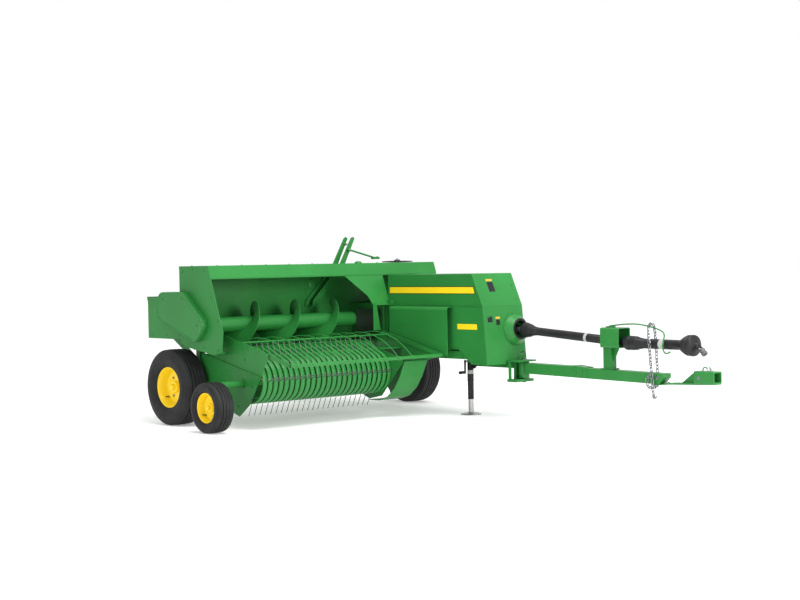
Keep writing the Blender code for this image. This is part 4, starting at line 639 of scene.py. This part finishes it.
def driveline():
    """Guard tubes with ribbed bells, the covered middle joint and the yoke at the tractor end."""
    axis, length = (JOINT - REAR).normalized(), (JOINT - REAR).length
    piece = Piece("rear_guard_tube", "rear_shaft")
    profile = [(0, length - 0.050), (0.026, length - 0.050), (0.028, length - 0.052), (0.028, length - 0.200),
            (0.0385, length - 0.215), (0.0385, 0.42), (0.0375, 0.41), (0.0375, 0.165), (0.041, 0.160),
            (0.041, 0.145), (0.047, 0.128), (0.047, 0.122), (0.054, 0.110), (0.054, 0.104), (0.060, 0.092),
            (0.060, 0.086), (0.065, 0.070), (0.065, 0.064), (0.070, 0.046), (0.070, 0.026), (0.066, 0.018),
            (0.060, 0.014), (0, 0.0125)]
    piece.lathe(profile, REAR, axis, BLACK, 64)
    piece.lathe([(0.0386, 0.76), (0.0390, 0.76), (0.0390, 0.79), (0.0386, 0.79)], REAR, axis, GREY, 64)
    piece.done(0.0, ["driveline_rear"], "black_parts")

    axis, reach = (FRONT - JOINT).normalized(), (FRONT - JOINT).length
    piece = Piece("front_guard_tube", "front_shaft")
    profile = [(0, reach - 0.060), (0.022, reach - 0.060), (0.030, reach - 0.085), (0.070, reach - 0.094),
            (0.086, reach - 0.100), (0.090, reach - 0.112), (0.090, reach - 0.130), (0.084, reach - 0.140),
            (0.088, reach - 0.150), (0.088, reach - 0.160), (0.078, reach - 0.170), (0.080, reach - 0.180),
            (0.068, reach - 0.194), (0.068, reach - 0.204), (0.056, reach - 0.220), (0.048, reach - 0.236),
            (0.0425, reach - 0.246), (0.0425, 0.150), (0.048, 0.140), (0.048, 0.120), (0.056, 0.102),
            (0.060, 0.086), (0.058, 0.080), (0.062, 0.062), (0.062, 0.040), (0.059, 0.036), (0.062, 0.030),
            (0.062, -0.014), (0.058, -0.022), (0.040, -0.042), (0.0075, -0.042), (0.005, -0.047),
            (0, -0.0495)]
    piece.lathe(profile, JOINT, axis, BLACK, 64)
    piece.lathe([(0.0426, 0.34), (0.0430, 0.34), (0.0430, 0.39), (0.0426, 0.39)], JOINT, axis, GREY, 64)
    knuckle = JOINT + axis * (reach - 0.062)
    tip = FRONT + Vector((0.010, 0, -0.078))
    droop = (tip - knuckle).normalized()
    for out in (-1, 1):
        piece.tube(smooth_path([knuckle + Vector((-0.02, out * 0.018, 0.0)),
                knuckle + Vector((0.004, out * 0.024, -0.012)), knuckle + droop * 0.045 + Vector((0,
                out * 0.023, 0))], 5), 0.009, BLACK, 12)
    piece.rod(knuckle + droop * 0.036 - Vector((0, 0.031, 0)), knuckle + droop * 0.036 + Vector((0, 0.031,
            0)), 0.010, STEEL, 24)
    piece.lathe([(0.0105, 0.040), (0.024, 0.040), (0.026, 0.048), (0.026, 0.056), (0.023, 0.060),
            (0.023, 0.072), (0.026, 0.076), (0.026, 0.092), (0.024, 0.096), (0.0165, 0.096), (0.0165, 0.060),
            (0.0105, 0.056)], knuckle, droop, CAST, 48)
    piece.done(0.0006, ["driveline_front"], "black_parts")


def drawbar():
    """Tongue with its splice and bolts, the joint housing on its post, the holder rod and the hitch."""
    y = SHAFT_Y
    piece = Piece("tongue_beam", "drawbar")
    outline = [(1.955, 0.507), (1.955, 0.411), (3.440, 0.3863), (3.500, 0.3853), (3.555, 0.440),
            (3.555, 0.476), (2.600, 0.491), (2.560, 0.500)]
    piece.prism(outline, "y", y - 0.05, y + 0.05, PAINT)
    piece.lathe([(0.0166, 0.515), (0.048, 0.515), (0.050, 0.512), (0.050, 0.368), (0.048, 0.365),
            (0.0166, 0.365)], (1.90, y, 0), (0, 0, 1), PAINT, 64)
    piece.box((1.930, y - 0.035, 0.411), (1.985, y + 0.035, 0.505), PAINT)
    piece.prism([(2.545, 0.412), (2.720, 0.409), (2.690, 0.496), (2.545, 0.510)], "y", y - 0.056, y + 0.056,
            PAINT)
    for x, z in ((2.575, 0.478), (2.575, 0.436), (2.660, 0.470), (2.660, 0.434), (3.40, 0.445),
            (3.48, 0.440)):
        for out in (-1, 1):
            piece.bolt((x, y + out * (0.056 if x < 3 else 0.05), z), (0, out, 0), ZINC if x > 3 else PAINT,
                    0.010)
    piece.done(0.004, ["tongue"], "green_paint")

    piece = Piece("joint_housing", "drawbar")
    rear, front, low, high = 2.890, 3.095, 0.678, 0.852
    shell = rounded([(y - 0.080, low), (y + 0.080, low), (y + 0.080, high), (y - 0.080, high)], 0.020, 6)
    inner = rounded([(y - 0.072, low + 0.008), (y + 0.072, low + 0.008), (y + 0.072, high - 0.008),
            (y - 0.072, high - 0.008)], 0.014, 6)
    piece.loft([standing(rear, shell), standing(front, shell), standing(front, inner), standing(rear, inner)],
            PAINT, closed=True)
    piece.box((2.885, y - 0.035, 0.4873), (2.975, y + 0.035, low + 0.002), PAINT)
    piece.prism([(2.860, 0.4873), (3.000, 0.4873), (3.000, 0.4953), (2.860, 0.4953)], "y", y - 0.045,
            y + 0.045, PAINT)
    piece.prism([(2.975, 0.55), (3.04, 0.677), (2.975, 0.677)], "y", y - 0.004, y + 0.004, PAINT)
    for x in (2.870, 2.990):
        for out in (-1, 1):
            piece.bolt((x, y + out * 0.038, 0.4953), (0, 0, 1), ZINC, 0.006)
    for x, z in ((2.93, 0.72), (2.93, 0.81), (3.06, 0.72), (3.06, 0.81)):
        piece.bolt((x, y - 0.080, z), (0, -1, 0), PAINT, 0.006)
        piece.bolt((x, y + 0.080, z), (0, 1, 0), PAINT, 0.006)
    piece.done(0.0015, ["driveline_support"], "green_paint")

    piece = Piece("holder_hook", "drawbar")
    top = 0.852
    path = [(2.930, y, top + 0.012), (3.10, y, top + 0.030), (3.25, y, top + 0.032), (3.40, y, top + 0.010),
            (3.50, y, top - 0.020), (3.545, y - 0.020, 0.800), (3.560, y - 0.055, 0.745),
            (3.560, y - 0.062, 0.700), (3.560, y - 0.040, 0.655), (3.560, y, 0.645),
            (3.560, y + 0.035, 0.655)]
    piece.tube(smooth_path(path, 8), 0.006, PAINT, 14)
    piece.prism(rounded([(2.910, y - 0.030), (2.980, y - 0.030), (2.980, y + 0.030), (2.910, y + 0.030)],
            0.008), "z", top + 0.0003, top + 0.010, PAINT)
    for out in (-1, 1):
        piece.bolt((2.945, y + out * 0.018, top + 0.010), (0, 0, 1), ZINC, 0.007)
    piece.done(0.0008, ["driveline_holder"], "green_paint")

    piece = Piece("hitch_jaw", "drawbar")
    bar = [(3.440, 0.371), (3.600, 0.386), (4.073, 0.405), (4.073, 0.420), (3.600, 0.401), (3.505, 0.3850),
            (3.440, 0.3860)]
    piece.prism(bar, "y", y - 0.045, y + 0.045, PAINT)
    section = rounded([(y - 0.055, 0.404), (y + 0.055, 0.404), (y + 0.055, 0.512), (y - 0.055, 0.512)], 0.016,
            6)
    throat = rounded([(y - 0.043, 0.424), (y + 0.043, 0.424), (y + 0.043, 0.500), (y - 0.043, 0.500)], 0.008,
            6)
    piece.loft([standing(3.870, section), standing(4.070, section), standing(4.070, throat),
            standing(3.885, throat)], PAINT)
    piece.prism([(3.70, 0.398), (3.872, 0.404), (3.872, 0.500), (3.84, 0.500)], "y", y - 0.006, y + 0.006,
            PAINT)
    for out in (-1, 1):
        piece.bolt((3.92, y + out * 0.055, 0.455), (0, out, 0), ZINC, 0.009)
    for x in (3.55, 3.66):
        piece.bolt((x, y + 0.022, 0.396), (0, 0, 1), ZINC, 0.009)
        piece.bolt((x, y - 0.022, 0.396), (0, 0, 1), ZINC, 0.009)
    piece.rod((4.005, y, 0.424), (4.005, y, 0.535), 0.012, STEEL, 32)
    piece.tube(smooth_path([(4.005, y - 0.002, 0.533), (4.005, y - 0.030, 0.548), (4.005, y - 0.046, 0.530),
            (4.005, y - 0.040, 0.516)], 5), 0.005, STEEL, 12)
    piece.tube([(3.945 + 0.024 * cos(a / 8 * pi), y + 0.002,
            0.514 + 0.030 * sin(a / 8 * pi)) for a in range(9)], 0.005, PAINT, 12)
    piece.done(0.002, ["hitch_clevis"], "green_paint")


def chain():
    """Welded links, each turned a quarter from the last, with a hook at the hanging end."""
    y, side = SHAFT_Y, 0.078
    path = smooth_path([(3.470, y - side, 0.285), (3.455, y - side, 0.420), (3.440, y - side, 0.600),
            (3.420, y - side + 0.008, 0.760), (3.400, y - 0.045, 0.865), (3.392, y, 0.889),
            (3.385, y + 0.045, 0.865), (3.380, y + side - 0.008, 0.760), (3.385, y + side, 0.560),
            (3.395, y + side, 0.430), (3.400, y + 0.062, 0.362), (3.400, y, 0.350), (3.400, y - 0.062, 0.362),
            (3.398, y - side, 0.420)], 24)
    piece = Piece("chain_links", "drawbar")
    pitch, travelled, count = 0.0285, 0.0, 0
    for before, after in zip(path, path[1:]):
        travelled += (after - before).length
        if travelled < pitch * count:
            continue
        along = (after - before).normalized()
        one, two = across(along)
        wide = one if count % 2 else two
        turns = [2 * pi * k / 16 + 0.01 for k in range(16)]
        link = [before + along * (0.0125 * cos(a) + 0.0065 * (1 if cos(a) > 0 else -1))
                + wide * 0.0115 * sin(a) for a in turns]
        piece.tube(link, 0.0038, ZINC, 8, closed=True)
        count += 1
    foot = Vector((3.470, y - side, 0.285))
    hook = [foot + Vector((0, 0, 0.004)), foot + Vector((0.002, 0, -0.008)),
            foot + Vector((0.016, 0, -0.016)), foot + Vector((0.028, 0, -0.006)),
            foot + Vector((0.026, 0, 0.008))]
    piece.tube(smooth_path(hook, 5), 0.0055, ZINC, 12)
    piece.done(0.0, ["safety_chain"], "zinc_chain")


def bracket_trim():
    """Pull ring and bolts on the pin that carries the tongue."""
    piece = Piece("pivot_ring", "base")
    x, y = 1.90, SHAFT_Y
    piece.tube([(x + 0.026 * cos(a * pi / 12), y, 0.588 + 0.022 * sin(a * pi / 12)) for a in range(24)],
            0.0045, ZINC, 12, closed=True)
    piece.lathe([(0, 0.534), (0.026, 0.534), (0.026, 0.540), (0.018, 0.545), (0, 0.545)], (x, y, 0),
            (0, 0, 1), ZINC, 32)
    for dx, dy in ((-0.05, -0.11), (0.05, -0.11), (-0.05, 0.06)):
        piece.bolt((x + dx, y + dy, 0.534), (0, 0, 1), PAINT, 0.008)
    piece.done(0.0008, (), "zinc_chain")


# ------------------------------------------------------------------ jack
def jack():
    """Sidewind jack: sleeve with mounting ring and label, crank with a knob, bright leg and stepped foot."""
    x, y, low, high, radius = 1.292, 2.334, 0.145, 0.54, 0.029
    piece = Piece("jack_tube", "base")
    piece.lathe([(0, high), (0.026, high), (radius, high - 0.004), (radius, low + 0.002),
            (radius - 0.001, low), (0.0256, low), (0.0256, high - 0.012), (0, high - 0.012)], (x, y, 0),
            (0, 0, 1), BLACK, 48)
    piece.lathe([(0.0292, 0.37), (0.0300, 0.37), (0.0300, 0.42), (0.0292, 0.42)], (x, y, 0), (0, 0, 1), GREY,
            48)
    piece.lathe([(0.0301, 0.315), (0.0303, 0.315), (0.0303, 0.385), (0.0301, 0.385)], (x, y, 0), (0, 0, 1),
            BLACK, 48)
    end = 2.3847
    piece.rod((x, y + radius - 0.003, 0.47), (x, end, 0.47), 0.040, BLACK, 48)
    piece.rod((x, y - 0.075, high - 0.035), (x, y - radius + 0.004, high - 0.035), 0.009, STEEL, 24)
    arm = rounded([(x - 0.011, high - 0.020), (x - 0.011, high - 0.152), (x + 0.011, high - 0.152),
            (x + 0.011, high - 0.020)], 0.010)
    piece.prism(arm, "y", y - 0.073, y - 0.067, ZINC)
    piece.lathe([(0, 0.074), (0.012, 0.072), (0.0155, 0.062), (0.0135, 0.030), (0.0145, 0.008), (0.012, 0),
            (0, 0)], (x, y - 0.074, high - 0.138), (0, -1, 0), BLACK, 32)
    piece.bolt((x, y - 0.0755, high - 0.035), (0, -1, 0), ZINC, 0.0065)
    piece.done(0.0006, ["jack_sleeve"], "black_parts")

    piece = Piece("jack_foot", "stand")
    piece.lathe([(0, high - 0.17), (0.0240, high - 0.17), (0.0246, high - 0.172), (0.0246, 0.021),
            (0.032, 0.016), (0.060, 0.012), (0.070, 0.015), (0.080, 0.012), (0.094, 0.009), (0.100, 0.004),
            (0.100, 0.0003), (0, 0.0003)], (x, y, 0), (0, 0, 1), STEEL, 64)
    piece.done(0.0, ["jack_leg"], "bare_steel")


# ------------------------------------------------------------------ rear of the machine
def rear_trim():
    """Springs and cranks of the tension frame, chamber rails, twine box ridges and frame bolts."""
    top, x0 = 1.06, -1.58
    piece = Piece("tension_springs", "base")
    half = 0.27
    for side in (-1, 1):
        low, high = sorted((CHAMBER_Y + side * half, CHAMBER_Y + side * (half - 0.07)))
        piece.box((x0, low, top + 0.0005), (x0 + 0.42, high, top + 0.050), PAINT)
    piece.box((x0 + 0.05, CHAMBER_Y - half, top + 0.051), (x0 + 0.13, CHAMBER_Y + half, top + 0.100), PAINT)
    for side in (-1, 1):
        x, y = x0 + 0.09, CHAMBER_Y + side * 0.17
        piece.rod((x, y, top + 0.098), (x, y, top + 0.300), 0.0095, STEEL, 24)
        helix = [(x + 0.0265 * cos(a * pi / 8), y + 0.0265 * sin(a * pi / 8),
                top + 0.106 + 0.00105 * a) for a in range(132)]
        piece.tube(helix, 0.0050, BLACK, 10)
        piece.lathe([(0.010, 0.251), (0.032, 0.251), (0.032, 0.257), (0.010, 0.257)], (x, y, top), (0, 0, 1),
                PAINT, 40)
        piece.tube(smooth_path([(x, y, top + 0.295), (x, y, top + 0.315), (x + 0.015, y, top + 0.322),
                (x + 0.060, y, top + 0.322), (x + 0.070, y, top + 0.328)], 4), 0.0065, STEEL, 12)
    piece.done(0.002, ["tension_frame"], "green_paint")

    piece = Piece("chamber_rails", "base")
    for side in (-1, 1):
        skin = CHAMBER_Y + side * 0.27
        for z in (0.665, 1.015):
            low, high = sorted((skin, skin + side * 0.004))
            piece.box((-1.69, low, z - 0.018), (-0.70, high, z + 0.018), PAINT)
        for i in range(8):
            for z in (0.665, 1.015):
                piece.bolt((-1.64 + 0.13 * i, skin + side * 0.004, z), (0, side, 0), ZINC, 0.006)
    for y in (2.08, 2.50):
        piece.box((-1.69, y - 0.02, 0.612), (-0.75, y + 0.02, 0.6195), PAINT)
    piece.done(0.0012, (), "green_paint")

    piece = Piece("box_trim", "base")
    piece.prism([(-0.664, 1.120), (-0.660, 1.120), (-0.660, 1.138), (-0.664, 1.138)], "y", 0.02, 1.92, PAINT)
    piece.prism([(-0.658, 1.146), (-0.093, 1.146), (-0.093, 1.162), (-0.658, 1.162)], "y", 0.0145, 0.0200,
            PAINT)
    for x in (-0.60, -0.35, -0.13):
        piece.bolt((x, 0.020, 0.82), (0, -1, 0), PAINT, 0.0055)
    for i in range(6):
        piece.bolt((-0.66, 0.15 + 0.33 * i, 0.82), (-1, 0, 0), PAINT, 0.0055)
    piece.done(0.001, (), "green_paint")

    piece = Piece("frame_bolts", "base")
    for y in (2.08, 2.50):
        for x in (0.0, 0.65, 1.25):
            out = -1 if y < CHAMBER_Y else 1
            piece.bolt((x, y + out * 0.03, 0.585), (0, out, 0), ZINC, 0.009)
    piece.rod((-0.13, 0.26, 0.348), (-0.03, 0.26, 0.348), 0.008, ZINC)
    piece.done(0.0, (), "zinc_chain")


# ------------------------------------------------------------------ studio
def studio():
    """White floor and surround, soft light from above, ahead and the right, and the camera."""
    scene = bpy.context.scene
    floor = bpy.data.meshes.new("floor")
    grid = bmesh.new()
    bmesh.ops.create_grid(grid, x_segments=8, y_segments=8, size=60)
    grid.to_mesh(floor)
    grid.free()
    ground = bpy.data.objects.new("floor", floor)
    scene.collection.objects.link(ground)
    white = surface("studio_floor", (0.86, 0.86, 0.86), 0.8, mottle=0.0, grain=0.0, shine=0.1)
    white.node_tree.nodes["Principled BSDF"].inputs["Emission Color"].default_value = (1, 1, 1, 1)
    white.node_tree.nodes["Principled BSDF"].inputs["Emission Strength"].default_value = 0.22
    floor.materials.append(white)
    ground.location.z = -0.0005

    world = bpy.data.worlds.new("studio")
    scene.world = world
    world.use_nodes = True
    world.node_tree.nodes["Background"].inputs["Color"].default_value = (1, 1, 1, 1)
    world.node_tree.nodes["Background"].inputs["Strength"].default_value = 1.0

    def lamp(name, place, aim, size, power):
        light = bpy.data.lights.new(name, "AREA")
        light.shape, light.size, light.energy = "DISK", size, power
        holder = bpy.data.objects.new(name, light)
        holder.location = place
        holder.rotation_euler = (Vector(aim) - Vector(place)).to_track_quat("-Z", "Y").to_euler()
        scene.collection.objects.link(holder)

    lamp("overhead", (2.0, -0.5, 7.0), (0, 0, 0.5), 5.0, 420)
    lamp("ahead", (9.0, 0.5, 3.0), (0, 0, 0.8), 3.5, 520)
    lamp("right_side", (1.5, -8.5, 2.6), (0, 0, 0.8), 3.0, 110)

    lens = bpy.data.cameras.new("camera")
    lens.lens, lens.sensor_width, lens.clip_end = 68.16, 36.0, 200
    eye = bpy.data.objects.new("camera", lens)
    scene.collection.objects.link(eye)
    azimuth, pitch, roll = radians(48.31), radians(1.391), radians(-1.052)
    right = Vector((cos(azimuth), sin(azimuth), 0))
    back = Vector((sin(azimuth) * cos(pitch), -cos(azimuth) * cos(pitch), sin(pitch)))
    up = back.cross(right)
    tilted = [right * cos(roll) + up * sin(roll), up * cos(roll) - right * sin(roll), back]
    turn = Matrix(tilted).transposed().to_4x4()
    eye.matrix_world = Matrix.Translation((10.515, -9.046, 1.4426)) @ turn
    scene.camera = eye
    scene.view_settings.view_transform = "Standard"
    scene.view_settings.look = "None"


studio()
wheels()
pickup_bands()
pickup_reel()
pickup_trim()
windguard()
auger()
house_trim()
drive_shield()
feeder()
cowl_trim()
case_trim()
driveline()
drawbar()
chain()
bracket_trim()
jack()
rear_trim()
